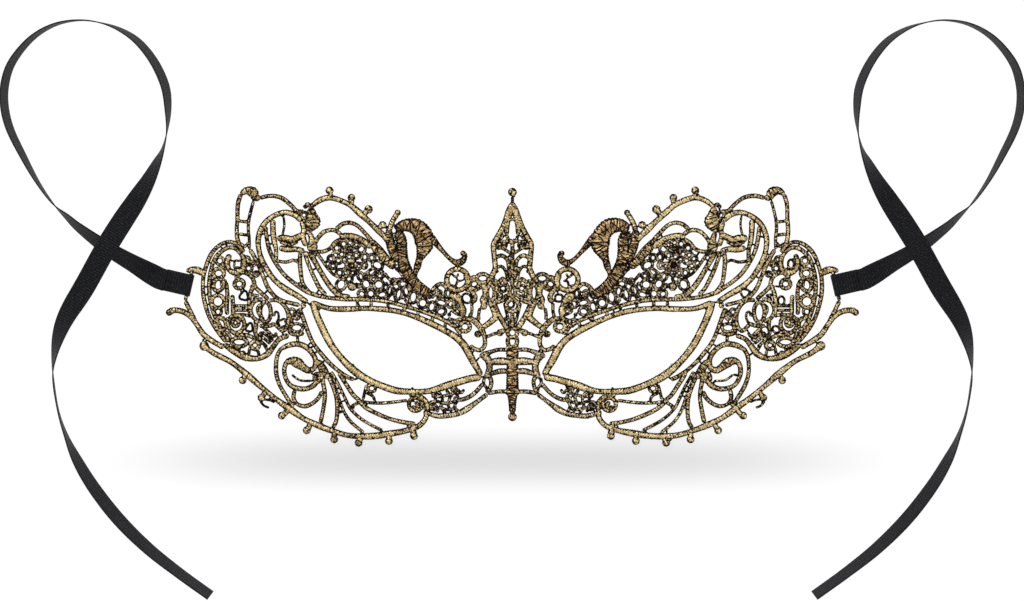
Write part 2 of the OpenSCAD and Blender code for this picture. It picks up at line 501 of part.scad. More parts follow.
BROW_CORD = [cord_h,
  [
    [fine_w, [[66.6, 8.2], [61.5, 6.5], [55, 5.6], [49, 5.5], [42.5, 5.1], [37.5, 4.2], [33, 2.9],
              [26.5, 0.8], [21, -1.6], [18.6, -3.4]]],
    [net_w, [[49.6, 5.4], [49.6, 3]]],
    [net_w, [[45.2, 5.2], [45.2, 3]]],
    [net_w, [[39.8, 4.6], [39.8, 2.4]]],
    [net_w, [[34.6, 3.4], [34.6, 1.6]]],
    [net_w, [[30.2, 2.2], [30.2, 0]]],
    [net_w, [[25.6, 0.5], [25.6, -2]]],
    [net_w, [[21.4, -1.4], [21.6, -4.4]]]
  ],
  [],
  [[2, [53.6, 6.2]]]
];

BROW_NET = [net_h,
  [
    [net_w, [[41, 14], [38.8, 11.6], [35.6, 12], [33.4, 11]]],
    [net_w, [[37.6, 15.6], [36, 14.2], [34.8, 12.4]]],
    [net_w, [[41.2, 8.8], [40, 7], [39.6, 5.4]]],
    [net_w, [[38, 9.6], [37.8, 7], [37.2, 4.8]]],
    [net_w, [[31.6, 10], [30.4, 8], [28.4, 7.4]]],
    [net_w, [[26.4, 7], [24, 6.8], [21.6, 6.4]]],
    [net_w, [[30.2, 5.8], [28.4, 6.6], [26, 5.8]]],
    [net_w, [[24.4, 5.6], [22.2, 6.4], [20.4, 5.8]]],
    [net_w, [[34.6, 5.8], [33.4, 4], [32.2, 3]]]
  ],
  [
    [net_w, [46.8, 10.4, 1.4, 1.6, -30]],
    [net_w, [42.8, 10.2, 1.6, 1.5, 0]],
    [net_w, [48.2, 7.2, 1.2, 1.1, 30]],
    [net_w, [45.3, 7.3, 1.3, 1.3, 0]],
    [net_w, [41.6, 7, 1.6, 1.1, -15]],
    [net_w, [43.2, 16.4, 1.7, 1.4, 30]],
    [net_w, [45, 18.8, 1, 1.1, 0]],
    [net_w, [45.2, 14, 0.9, 1.9, 50]],
    [net_w, [46.6, 13, 0.8, 0.9, 0]],
    [net_w, [42.4, 13, 1, 0.9, 0]],
    [net_w, [44.4, 11.9, 0.9, 0.8, 0]],
    [net_w, [39.3, 8.2, 0.8, 1.8, 15]],
    [net_w, [36.4, 7.2, 1, 1.8, 15]],
    [net_w, [35, 10.4, 1.3, 1.1, 0]],
    [net_w, [38, 11.2, 0.9, 0.8, 0]],
    [net_w, [34, 8.1, 1, 1.6, -10]],
    [net_w, [31.7, 6.2, 1.3, 1.9, 10]],
    [net_w, [28.7, 4.3, 1.5, 1.5, -15]],
    [net_w, [25.8, 3.1, 1.2, 1.6, 15]],
    [net_w, [22.7, 4.4, 1.7, 1.1, 15]],
    [net_w, [22.8, 1.6, 1.5, 1.2, -15]],
    [net_w, [19.6, 4, 1.2, 1.2, 0]],
    [net_w, [20.6, 7.4, 0.9, 1.3, 0]],
    [net_w, [32, 9.2, 0.8, 0.7, 0]],
    [net_w, [23.6, 7.6, 0.8, 0.7, 0]]
  ],
  [[1.6, [40.4, 10.4]], [1.6, [33, 11.6]], [1.6, [25.6, 6.4]], [1.6, [43.6, 8.6]], [1.4, [20.2, 0.6]]]
];

NOSE_RING = [cord_h,
  [
    [main_w, [[33.2, -25], [31, -25.2, 1.2], [28.8, -26.2], [27.3, -28.2], [27.6, -30.4]]],
    [fine_w, [[31.2, -27.2], [30.2, -28.4], [31, -29.4], [32.2, -28.6]]]
  ],
  [[fine_w, [31, -28.1, 2.1, 2.1, 0]]],
  [[1.6, [28.4, -29]]]
];

NOSE_NET = [net_h,
  [
    [fine_w, [[9.4, -21.4], [11.6, -24], [14, -25.8], [16.6, -26.6], [19, -26]]],
    [main_w, [[8, -24.8, 1.2], [10.4, -26.6, 1.2], [12.6, -28.2], [14.6, -29.6, 1.8], [17.4, -31],
              [20.4, -31.6, 1.4], [24, -31.8], [27.4, -30.8, 1.2]]],
    [net_w, [[19.4, -23.6], [17.8, -25], [17.4, -26.6], [18.4, -28.4], [17.8, -30.4]]],
    [net_w, [[25.8, -24.4], [24.6, -26.4], [25, -28.6], [23.6, -30.6]]],
    [net_w, [[23.4, -24.2], [22.4, -26.4], [22.8, -28.6], [21.4, -31]]],
    [net_w, [[21.2, -23.4], [20, -25.6], [20.6, -28.2], [19.4, -30.6]]],
    [net_w, [[26.6, -27.4], [24, -27.2], [21.4, -27.8], [18.4, -27.2]]],
    [net_w, [[26, -25.4], [23, -25.6], [20.2, -25], [17.8, -24.2]]],
    [net_w, [[26, -29.8], [23.4, -29.2], [20.8, -29.8], [18, -29.4]]],
    [net_w, [[17.6, -23.2], [16.4, -24.4], [15.4, -23.2]]]
  ],
  [[net_w, [25.2, -29, 1, 0.8, 30]], [net_w, [24.6, -25.2, 0.7, 0.6, 0]],
            [net_w, [18.6, -23.4, 0.8, 0.6, 20]]],
  [[1.4, [21.4, -27.8]], [1.4, [19.6, -25.2]], [1.4, [18.6, -29.2]]]
];

// The order in which the motifs are stitched: a motif stops where it meets one
// that was stitched before it.
LACE = [
  SPIRE, FINIAL, NOSE_BLADE, EYE_RIM, CROSS_BARS, LOWER_EDGE, SIDE_LOOP, SIDE_TAIL, CRESCENT, CREST_ARCH,
  CREST_LOOP, SIDE_ROSETTE, SWAN_SCROLL, BRIDGE_RING, BRIDGE_SCROLL, CREST_LEAF, LOWER_SCROLL, CREST_STEMS,
  PETAL_FAN, GRAPE_ROSETTE, BROW_CORD, BROW_NET, NOSE_RING, NOSE_NET
];

// Facets round a ring, a ball and a cord's end
ring_facets = 10;
ball_facets = 14;
end_facets = 8;
// Slivers thinner than twice this are left off
sliver = 0.12;

// In a larger lace the cords and knots grow too, so that they still meet
growth = max(1, mask_w / design_w, mask_h / design_h);
function with_width(p, w) = concat(placed(p), growth * (is_undef(p[2]) ? w : p[2]));

// A point between b and c of a Catmull-Rom curve, with its width as a third number
function between(a, b, c, d, t) =
  b + t * (c - a) / 2 + t * t * (a - 2.5 * b + 2 * c - d / 2) + t * t * t * (d - 3 * c + 3 * b - a) / 2;
function at(path, i) = path[max(0, min(len(path) - 1, i))];
function steps(a, b, longest) = max(1, ceil(norm([b[0] - a[0], b[1] - a[1]]) / longest));
function curve(path, longest) = concat(
  [for (i = [0:len(path) - 2]) let (n = steps(path[i], path[i + 1], longest))
    for (k = [0:n - 1]) between(at(path, i - 1), path[i], path[i + 1], at(path, i + 2), k / n)],
  [path[len(path) - 1]]
);

// The point beside sample i, half the cord's width to its left (side 1) or right (side -1)
function beside(path, i, side) =
  let (run = at(path, i + 1) - at(path, i - 1), reach = side * path[i][2] / 2 / norm([run[0], run[1]]))
  [path[i][0] - run[1] * reach, path[i][1] + run[0] * reach];

module cord(c) {
  path = curve([for (p = c[1]) with_width(p, c[0])], cord_step);
  last = len(path) - 1;
  polygon(concat([for (i = [0:last]) beside(path, i, 1)], [for (i = [last:-1:0]) beside(path, i, -1)]));
  for (p = [path[0], path[last]])
    translate([p[0], p[1]]) circle(d = p[2], $fn = end_facets);
}

module oval(r, grown) {
  translate(placed(r[1])) scale([mask_w / design_w, mask_h / design_h]) rotate(r[1][4])
    scale([r[1][2] + grown, r[1][3] + grown]) circle(1, $fn = ring_facets);
}

module motif(m) {
  for (c = m[1]) cord(c);
  for (r = m[2]) difference() {
    oval(r, r[0] / 2);
    if (min(r[1][2], r[1][3]) > r[0] / 2) oval(r, -r[0] / 2);
  }
  for (k = m[3]) translate(placed(k[1])) circle(d = growth * k[0], $fn = ball_facets);
}

module both_halves() {
  children();
  mirror([1, 0, 0]) children();
}

// A motif as a solid, cut back where it meets the motifs stitched before it
module stitched(m, symmetric = false) {
  place = [for (i = [0:len(LACE) - 1]) if (LACE[i] == m) i][0];
  linear_extrude(m[0])
    offset(delta = sliver) offset(delta = -sliver)
      difference() {
        if (symmetric) both_halves() motif(m);
        else motif(m);
        for (j = [0:1:place - 1]) if (symmetric) both_halves() motif(LACE[j]);
        else motif(LACE[j]);
      }
}

module left() {
  mirror([1, 0, 0]) children();
}

// Places its children on the bar's middle, with X pointing outwards and the bar along Y
module on_bar() {
  translate([bar_mid[0], bar_mid[1], bar_z]) rotate(bar_turn) children();
}

module side_loop() {
  stitched(SIDE_LOOP);
  on_bar() rotate([90, 0, 0]) cylinder(d = bar_d, h = 2 * bar_half, center = true, $fn = 48);
}

module sleeve() {
  on_bar() difference() {
    union() {
      rotate([90, 0, 0]) cylinder(r = fold_r, h = ribbon_w, center = true, $fn = 48);
      translate([0, -ribbon_w / 2, -ribbon_t]) cube([sleeve_l, ribbon_w, 2 * ribbon_t]);
    }
    rotate([90, 0, 0]) cylinder(r = bar_d / 2 + bar_gap, h = ribbon_w + 1, center = true, $fn = 48);
  }
}

// The ribbon's section, with its edges slightly rounded: across and through
ribbon_section = let (side = ribbon_w / 2, edge = side - 0.1, face = ribbon_t / 2, corner = face / 2) [
  [side, -corner], [side, corner], [edge, face], [0, face], [-edge, face],
  [-side, corner], [-side, -corner], [-edge, -face], [0, -face], [edge, -face]
];

function ribbon_rise(p) =
  ribbon_w / 2 * abs(sin(p[2])) + ribbon_t / 2 * abs(cos(p[2])) + ground_gap + max(0, p[3]);
function heading(path, i) =
  let (run = at(path, i + 1) - at(path, i - 1)) i == 0 ? outward : [run[0], run[1]] / norm([run[0], run[1]]);
function ribbon_point(p, way, q) =
  let (across = q[0] * cos(p[2]) - q[1] * sin(p[2]), up = q[0] * sin(p[2]) + q[1] * cos(p[2]))
  [p[0] - way[1] * across, p[1] + way[0] * across, ribbon_rise(p) + up];

module ribbon() {
  moved = mouth - drawn_mouth;
  path = curve(
    concat(
      [for (d = [0, straight_out]) concat(mouth + d * outward, [0, mouth_lift])],
      [for (p = ROUTE) [p[0] + moved[0], p[1] + moved[1], p[2], p[3]]]
    ),
    ribbon_step
  );
  n = len(ribbon_section);
  // Both faces are split along the same diagonals, so that the ribbon keeps its thickness as it twists
  last = (len(path) - 1) * n;
  polyhedron(
    [for (i = [0:len(path) - 1]) for (q = ribbon_section) ribbon_point(path[i], heading(path, i), q)],
    concat(
      [[for (k = [0:n - 1]) k]],
      [for (i = [0:n:last - n]) for (k = [0:n / 2 - 1]) each [
        [i + k, i + n + k, i + n + k + 1], [i + k, i + n + k + 1, i + k + 1]
      ]],
      [for (i = [0:n:last - n]) for (k = [n / 2:n - 1]) let (next = (k + 1) % n) each [
        [i + k, i + n + k, i + next], [i + next, i + n + k, i + n + next]
      ]],
      [[for (k = [n - 1:-1:0]) last + k]]
    )
  );
}

// Colours of the metallic cords, the dark swan cords, the fine net and the ribbons
gold = "#b59a5b";
bronze = "#7d6238";
pale_gold = "#c4ab70";
ribbon_black = "#17161a";

module spire() {
  color(gold) stitched(SPIRE, symmetric = true);
}

module spire_finial() {
  color(gold) stitched(FINIAL, symmetric = true);
}

module nose_blade() {
  color(bronze) stitched(NOSE_BLADE, symmetric = true);
}

module cross_bars() {
  color(gold) stitched(CROSS_BARS, symmetric = true);
}

module left_eye_rim() {
  color(gold) left() stitched(EYE_RIM);
}

module right_eye_rim() {
  color(gold) stitched(EYE_RIM);
}

module left_lower_edge() {
  color(gold) left() stitched(LOWER_EDGE);
}

module right_lower_edge() {
  color(gold) stitched(LOWER_EDGE);
}

module left_side_loop() {
  color(gold) left() side_loop();
}

module right_side_loop() {
  color(gold) side_loop();
}

module left_side_tail() {
  color(gold) left() stitched(SIDE_TAIL);
}

module right_side_tail() {
  color(gold) stitched(SIDE_TAIL);
}

module left_crescent() {
  color(gold) left() stitched(CRESCENT);
}

module right_crescent() {
  color(gold) stitched(CRESCENT);
}

module left_crest_arch() {
  color(gold) left() stitched(CREST_ARCH);
}

module right_crest_arch() {
  color(gold) stitched(CREST_ARCH);
}

module left_crest_loop() {
  color(gold) left() stitched(CREST_LOOP);
}

module right_crest_loop() {
  color(gold) stitched(CREST_LOOP);
}

module left_side_rosette() {
  color(gold) left() stitched(SIDE_ROSETTE);
}

module right_side_rosette() {
  color(gold) stitched(SIDE_ROSETTE);
}

module left_swan_scroll() {
  color(bronze) left() stitched(SWAN_SCROLL);
}

module right_swan_scroll() {
  color(bronze) stitched(SWAN_SCROLL);
}

module left_bridge_ring() {
  color(gold) left() stitched(BRIDGE_RING);
}

module right_bridge_ring() {
  color(gold) stitched(BRIDGE_RING);
}

module left_bridge_scroll() {
  color(gold) left() stitched(BRIDGE_SCROLL);
}

module right_bridge_scroll() {
  color(gold) stitched(BRIDGE_SCROLL);
}

module left_crest_leaf() {
  color(gold) left() stitched(CREST_LEAF);
}

module right_crest_leaf() {
  color(gold) stitched(CREST_LEAF);
}

module left_crest_stems() {
  color(gold) left() stitched(CREST_STEMS);
}

module right_crest_stems() {
  color(gold) stitched(CREST_STEMS);
}

module left_lower_scroll() {
  color(gold) left() stitched(LOWER_SCROLL);
}

module right_lower_scroll() {
  color(gold) stitched(LOWER_SCROLL);
}

module left_petal_fan() {
  color(gold) left() stitched(PETAL_FAN);
}

module right_petal_fan() {
  color(gold) stitched(PETAL_FAN);
}

module left_grape_rosette() {
  color(pale_gold) left() stitched(GRAPE_ROSETTE);
}

module right_grape_rosette() {
  color(pale_gold) stitched(GRAPE_ROSETTE);
}

module left_brow_cord() {
  color(gold) left() stitched(BROW_CORD);
}

module right_brow_cord() {
  color(gold) stitched(BROW_CORD);
}

module left_brow_net() {
  color(pale_gold) left() stitched(BROW_NET);
}

module right_brow_net() {
  color(pale_gold) stitched(BROW_NET);
}

module left_nose_ring() {
  color(gold) left() stitched(NOSE_RING);
}

module right_nose_ring() {
  color(gold) stitched(NOSE_RING);
}

module left_nose_net() {
  color(pale_gold) left() stitched(NOSE_NET);
}

module right_nose_net() {
  color(pale_gold) stitched(NOSE_NET);
}

module left_sleeve() {
  color(ribbon_black) left() sleeve();
}

module right_sleeve() {
  color(ribbon_black) sleeve();
}

module left_ribbon() {
  color(ribbon_black) left() ribbon();
}

module right_ribbon() {
  color(ribbon_black) ribbon();
}

spire();
spire_finial();
nose_blade();
cross_bars();
left_eye_rim();
right_eye_rim();
left_lower_edge();
right_lower_edge();
left_side_loop();
right_side_loop();
left_side_tail();
right_side_tail();
left_crescent();
right_crescent();
left_crest_arch();
right_crest_arch();
left_crest_loop();
right_crest_loop();
left_side_rosette();
right_side_rosette();
left_swan_scroll();
right_swan_scroll();
left_bridge_ring();
right_bridge_ring();
left_bridge_scroll();
right_bridge_scroll();
left_crest_leaf();
right_crest_leaf();
left_crest_stems();
right_crest_stems();
left_lower_scroll();
right_lower_scroll();
left_petal_fan();
right_petal_fan();
left_grape_rosette();
right_grape_rosette();
left_brow_cord();
right_brow_cord();
left_brow_net();
right_brow_net();
left_nose_ring();
right_nose_ring();
left_nose_net();
right_nose_net();
left_sleeve();
right_sleeve();
left_ribbon();
right_ribbon();
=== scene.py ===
import bpy
import bmesh
import math
import random
import numpy as np
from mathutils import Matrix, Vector


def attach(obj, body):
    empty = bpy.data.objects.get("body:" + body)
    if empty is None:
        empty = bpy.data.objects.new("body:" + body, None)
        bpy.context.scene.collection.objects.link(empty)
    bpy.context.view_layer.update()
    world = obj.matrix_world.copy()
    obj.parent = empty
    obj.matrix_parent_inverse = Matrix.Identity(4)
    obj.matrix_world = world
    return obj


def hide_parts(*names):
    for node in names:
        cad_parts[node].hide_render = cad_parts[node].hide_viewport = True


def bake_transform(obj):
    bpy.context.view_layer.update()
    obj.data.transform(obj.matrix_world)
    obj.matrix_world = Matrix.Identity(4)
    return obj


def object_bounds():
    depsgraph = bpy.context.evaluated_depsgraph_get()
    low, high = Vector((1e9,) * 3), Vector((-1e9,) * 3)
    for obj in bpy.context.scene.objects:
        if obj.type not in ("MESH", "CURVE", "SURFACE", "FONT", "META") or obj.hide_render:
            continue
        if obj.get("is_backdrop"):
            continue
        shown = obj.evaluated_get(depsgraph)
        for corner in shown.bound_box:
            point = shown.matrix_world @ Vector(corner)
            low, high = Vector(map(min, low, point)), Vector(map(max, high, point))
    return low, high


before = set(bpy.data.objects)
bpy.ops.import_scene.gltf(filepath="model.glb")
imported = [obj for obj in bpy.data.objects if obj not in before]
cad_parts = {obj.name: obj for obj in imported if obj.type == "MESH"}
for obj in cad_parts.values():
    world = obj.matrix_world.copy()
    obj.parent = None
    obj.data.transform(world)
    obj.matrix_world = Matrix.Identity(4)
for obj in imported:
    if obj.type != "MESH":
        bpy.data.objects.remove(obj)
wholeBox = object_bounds()

# Lengths below are in millimetres, as in the part, and mm turns them into metres.
mm = 0.001


def plain(value):
    if hasattr(value, "__len__"):
        return [plain(item) for item in value]
    return float(value)


def add(tree, kind, values=None, **settings):
    node = tree.nodes.new(kind)
    for name, value in settings.items():
        setattr(node, name, value)
    for name, value in (values or {}).items():
        if isinstance(value, bpy.types.NodeSocket):
            tree.links.new(value, node.inputs[name])
        else:
            node.inputs[name].default_value = value
    return node


def calc(tree, kind, *values):
    node = add(tree, "ShaderNodeMath", dict(enumerate(values)), operation=kind)
    return node.outputs[0]


def ramp(tree, value, low, high):
    node = add(tree, "ShaderNodeMapRange", {"Value": value, "From Min": low, "From Max": high},
               interpolation_type="SMOOTHSTEP")
    return node.outputs[0]


def mixed(tree, share, first, second):
    node = add(tree, "ShaderNodeMix", {0: share, 6: first, 7: second}, data_type="RGBA")
    return node.outputs[2]


def newGroup(name, takes, gives):
    tree = bpy.data.node_groups.new(name, "ShaderNodeTree")
    for label, kind in takes:
        tree.interface.new_socket(label, in_out="INPUT", socket_type=kind)
    for label, kind in gives:
        tree.interface.new_socket(label, in_out="OUTPUT", socket_type=kind)
    return tree, tree.nodes.new("NodeGroupInput").outputs, tree.nodes.new("NodeGroupOutput").inputs


def between(a, b, c, d, t):
    return [q + t * (r - p) / 2 + t * t * (p - 2.5 * q + 2 * r - s / 2) + t ** 3 * (s - 3 * r + 3 * q - p) / 2
            for p, q, r, s in zip(a, b, c, d)]


def smoothPath(points, longest):
    path = []
    last = len(points) - 1
    for i in range(last):
        near = [points[max(0, min(last, i + k))] for k in (-1, 0, 1, 2)]
        count = max(1, math.ceil(math.dist(points[i][:2], points[i + 1][:2]) / longest))
        path += [between(*near, k / count) for k in range(count)]
    return path + [list(points[last])]


def finished(obj, smooth=True):
    mesh = obj.data
    bm = bmesh.new()
    bm.from_mesh(mesh)
    bmesh.ops.remove_doubles(bm, verts=bm.verts, dist=0.02 * mm)
    bmesh.ops.recalc_face_normals(bm, faces=bm.faces)
    for face in bm.faces:
        face.smooth = smooth
    bm.to_mesh(mesh)
    bm.free()
    return obj


def asMesh(obj, name):
    bpy.context.view_layer.update()
    graph = bpy.context.evaluated_depsgraph_get()
    mesh = bpy.data.meshes.new_from_object(obj.evaluated_get(graph))
    source = obj.data
    bpy.data.objects.remove(obj)
    if isinstance(source, bpy.types.Curve):
        bpy.data.curves.remove(source)
    else:
        bpy.data.meshes.remove(source)
    mesh.name = name
    made = bpy.data.objects.new(name, mesh)
    bpy.context.scene.collection.objects.link(made)
    return made


def store(mesh, name, kind, values):
    attribute = mesh.attributes.new(name, kind, "POINT")
    attribute.data.foreach_set("vector" if kind == "FLOAT_VECTOR" else "value",
                               np.asarray(values, dtype=np.float32).ravel())


# Camera, straight above
shot = {"centre": (-0.13, 5.12), "width": 327.7, "lens": 300, "sensor": 36}
camera = bpy.data.objects.new("camera", bpy.data.cameras.new("camera"))
camera.data.lens = shot["lens"]
camera.data.sensor_width = shot["sensor"]
camera.data.clip_end = 20
camera.location = (shot["centre"][0] * mm, shot["centre"][1] * mm,
                   shot["width"] * mm * shot["lens"] / shot["sensor"])
bpy.context.scene.collection.objects.link(camera)
bpy.context.scene.camera = camera
print("camera")

# Ribbons: the part's route of x, y, tilt and lift, from the fold's mouth to the free end
ribbonLooks = {"width": 7, "thickness": 0.4, "bar": 1.3, "gap": 0.06, "fold": 7.5, "lead": 52,
               "sample": 1.0, "across": 10, "rib": 0.85, "black": (0.0035, 0.0035, 0.006, 1),
               "sheen": (0.05, 0.052, 0.055, 1)}
barMid = (103.5, 10)
barTurn = math.radians(13)
outward = (math.cos(barTurn), math.sin(barTurn))
alongBar = (-outward[1], outward[0])
foldRadius = ribbonLooks["bar"] / 2 + ribbonLooks["gap"] + ribbonLooks["thickness"]
groundGap = 0.05
loopRoom = 1.6
barZ = foldRadius + groundGap
barHalf = ribbonLooks["width"] / 2 + loopRoom
barTop = tuple(m + barHalf * a for m, a in zip(barMid, alongBar))
barFoot = tuple(m - barHalf * a for m, a in zip(barMid, alongBar))
mouth = tuple(m + ribbonLooks["fold"] * o for m, o in zip(barMid, outward))
mouthLift = barZ - ribbonLooks["thickness"] / 2 - groundGap
route = [(120.5, 16.5, 35, 0), (129.5, 21.8, 50, 0), (138.3, 28.2, 66, 0), (142.2, 31.7, 75, 0),
    (146.8, 36, 90, 0), (151.8, 43, 97, 0), (156.5, 51.5, 104, 0), (160.6, 60, 107, 0),
    (162.4, 67.5, 108, 0), (162.2, 74.5, 108, 0), (159.8, 81.5, 106, 0), (153.8, 88.8, 101, 0),
    (146.5, 93.2, 95, 0), (138.5, 94.7, 90, 0), (131.3, 93.8, 88, 0), (125, 91.5, 80, 0),
    (119.4, 87.6, 73, 0), (114.4, 81.2, 70, 0), (111, 73.6, 70, 0), (110.1, 66.4, 76, 0),
    (110.4, 59.5, 90, 0), (111.7, 53.6, 99, 0), (113.8, 48.8, 116, 0), (116.7, 43, 134, 0.5),
    (120.6, 36.6, 156, 1.6), (125, 29.8, 172, 3.9), (130, 21.6, 178, 5.6), (136.6, 9.8, 174, 3.6),
    (142.3, 0.5, 148, 1.1), (145, -6, 128, 0.2), (146.5, -13, 105, 0), (146.8, -19.6, 91, 0),
    (145.2, -30, 90, 0), (142.6, -38.2, 83, 0), (139, -46.1, 67, 0), (133.8, -54.7, 60, 0),
    (126, -64.7, 58, 0), (116.6, -74, 61, 0), (106.5, -82, 65, 0), (96.5, -89.2, 66, 0)]


def rise(point):
    tilt = math.radians(point[2])
    half = ribbonLooks["width"] / 2
    edge, flat = half * abs(math.sin(tilt)), ribbonLooks["thickness"] / 2 * abs(math.cos(tilt))
    return edge + flat + groundGap + max(0, point[3])


def ribbonFrames(side):
    straight = (mouth[0] + 2 * outward[0], mouth[1] + 2 * outward[1], 0, mouthLift)
    points = [(*mouth, 0, mouthLift), straight] + route
    path = smoothPath(points, ribbonLooks["sample"])
    last = len(path) - 1
    frames = []
    run = 0
    for i, point in enumerate(path):
        before, after = path[max(0, i - 1)], path[min(last, i + 1)]
        way = (after[0] - before[0], after[1] - before[1]) if i else outward
        size = math.hypot(*way)
        here = (point[0], point[1], rise(point))
        run += math.dist(here, frames[-1][1]) if frames else 0
        frames.append((run, here, (-way[1] / size, way[0] / size), math.radians(point[2])))
    return [(f[0], (side * f[1][0], *f[1][1:]), (side * f[2][0], f[2][1]), f[3]) for f in frames]


def strip(name, frames):
    # frames: run, centre, level direction across, tilt
    steps = ribbonLooks["across"]
    bm = bmesh.new()
    bmesh.ops.create_grid(bm, x_segments=steps, y_segments=len(frames) - 1, size=1)
    weave = []
    for vert in bm.verts:
        run, centre, level, tilt = frames[round((vert.co.y + 1) / 2 * (len(frames) - 1))]
        across = vert.co.x * ribbonLooks["width"] / 2
        weave.append((across, run, 0))
        vert.co = ((centre[0] + level[0] * across * math.cos(tilt)) * mm,
                   (centre[1] + level[1] * across * math.cos(tilt)) * mm,
                   (centre[2] + across * math.sin(tilt)) * mm)
    mesh = bpy.data.meshes.new(name)
    bm.to_mesh(mesh)
    bm.free()
    store(mesh, "weave", "FLOAT_VECTOR", weave)
    made = bpy.data.objects.new(name, mesh)
    bpy.context.scene.collection.objects.link(made)
    thick = made.modifiers.new("thickness", "SOLIDIFY")
    thick.thickness = ribbonLooks["thickness"] * mm
    thick.offset = 0
    edge = made.modifiers.new("selvedge", "BEVEL")
    edge.affect = "EDGES"
    edge.width = 0.08 * mm
    edge.segments = 2
    edge.profile = 0.5
    edge.material = -1
    edge.limit_method = "ANGLE"
    made = finished(asMesh(made, name))
    made.data.materials.append(ribbonCloth)
    return made


def newMaterial(name):
    material = bpy.data.materials.new(name)
    material.use_nodes = True
    tree = material.node_tree
    return material, tree, tree.nodes["Principled BSDF"]


# Metal-foil thread wound round a dark core: gold on the crowns, and the dark thread colour along the edges as
# painted shade where the cord turns away from the light; the dark thread also shows through the foil in
# random specks.
def makeWoundFoil():
    tree, takes, gives = newGroup(
        "wound foil",
        [("Foil", "NodeSocketColor"), ("Shade", "NodeSocketColor"), ("ThreadAndEdgeShade", "NodeSocketColor"),
         ("Cover", "NodeSocketFloat")],
        [("Color", "NodeSocketColor"), ("Metallic", "NodeSocketFloat"), ("Roughness", "NodeSocketFloat"),
         ("Height", "NodeSocketFloat")])
    inset = add(tree, "ShaderNodeAttribute", attribute_name="inset").outputs["Fac"]
    wrap = add(tree, "ShaderNodeAttribute", attribute_name="wrap").outputs["Vector"]
    ridge, tone = add(tree, "ShaderNodeSeparateXYZ", {0: wrap}).outputs[1:]
    place = add(tree, "ShaderNodeTexCoord").outputs["Object"]
    speck = add(tree, "ShaderNodeTexNoise", {"Vector": place, "Scale": 1500, "Detail": 3}).outputs[0]
    fleck = add(tree, "ShaderNodeTexNoise", {"Vector": place, "Scale": 3600, "Detail": 2}).outputs[0]
    cloud = add(tree, "ShaderNodeTexNoise", {"Vector": place, "Scale": 420, "Detail": 2}).outputs[0]
    # The level starts from the inset, which is high on top of each round cord and low on its sides, so the
    # sides take the dark colour as painted edge shade; the speck and fleck noise lets the dark thread show
    # through the foil at random, and the ridge term darkens it between the turns of the wrap.
    level = calc(tree, "MULTIPLY_ADD", calc(tree, "SUBTRACT", speck, 0.5), 1.7, inset)
    level = calc(tree, "MULTIPLY_ADD", calc(tree, "SUBTRACT", fleck, 0.5), 0.8, level)
    level = calc(tree, "MULTIPLY_ADD", calc(tree, "SUBTRACT", ridge, 0.7), 0.2, level)
    level = calc(tree, "MULTIPLY_ADD", calc(tree, "SUBTRACT", tone, 0.5), 0.12, level)
    level = calc(tree, "ADD", level, takes["Cover"])
    coverAndLitCrown = ramp(tree, level, 0.42, 0.55)
    # Brightness of the foil: random flecks, clouds and tone, plus lighter foil on the top of each turn of the
    # wrap as a painted highlight; the darker shade colour takes the low end.
    bright = calc(tree, "MULTIPLY_ADD", fleck, 1.1, calc(tree, "MULTIPLY", cloud, 1.1))
    bright = calc(tree, "MULTIPLY_ADD", tone, 0.35, bright)
    bright = calc(tree, "MULTIPLY_ADD", ridge, 0.3, bright)
    foil = mixed(tree, ramp(tree, bright, 1.15, 1.85), takes["Shade"], takes["Foil"])
    tree.links.new(mixed(tree, coverAndLitCrown, takes["ThreadAndEdgeShade"], foil), gives["Color"])
    tree.links.new(calc(tree, "MULTIPLY", coverAndLitCrown, 0.82), gives["Metallic"])
    tree.links.new(calc(tree, "MULTIPLY_ADD", coverAndLitCrown, -0.32, calc(tree, "MULTIPLY_ADD", fleck, 0.2, 0.64)),
                   gives["Roughness"])
    tree.links.new(calc(tree, "MULTIPLY_ADD", fleck, 0.7, ridge), gives["Height"])
    return tree


def threadMaterial(name, looks):
    material, tree, shader = newMaterial(name)
    group = tree.nodes.new("ShaderNodeGroup")
    group.node_tree = woundFoil
    group.inputs["Foil"].default_value = looks["foil"]
    group.inputs["Shade"].default_value = looks["shade"]
    group.inputs["ThreadAndEdgeShade"].default_value = looks["thread"]
    group.inputs["Cover"].default_value = looks["coverAndLitCrown"]
    for label, socket in (("Color", "Base Color"), ("Metallic", "Metallic"), ("Roughness", "Roughness")):
        tree.links.new(group.outputs[label], shader.inputs[socket])
    bump = add(tree, "ShaderNodeBump",
               {"Height": group.outputs["Height"], "Strength": 0.7, "Distance": 0.12 * mm})
    tree.links.new(bump.outputs[0], shader.inputs["Normal"])
    shader.inputs["Specular IOR Level"].default_value = 0.12
    return material


woundFoil = makeWoundFoil()
# thread is the dark thread colour: it shows in random specks and also serves as the painted shade along the
# sides of every cord. shade is the darker gold of the random mottling and of the painted shade between the
# turns.
foilLooks = {
    "gold_lace": {"foil": (0.86, 0.68, 0.36, 1), "shade": (0.36, 0.235, 0.085, 1),
                  "thread": (0.006, 0.0024, 0.0004, 1), "coverAndLitCrown": 0.0},
    "net_lace": {"foil": (0.78, 0.63, 0.38, 1), "shade": (0.24, 0.165, 0.075, 1),
                 "thread": (0.006, 0.0024, 0.0004, 1), "coverAndLitCrown": -0.01},
    "dark_lace": {"foil": (0.84, 0.60, 0.30, 1), "shade": (0.24, 0.125, 0.05, 1),
                  "thread": (0.005, 0.002, 0.0008, 1), "coverAndLitCrown": -0.05},
}
foils = {slot: threadMaterial(slot, looks) for slot, looks in foilLooks.items()}


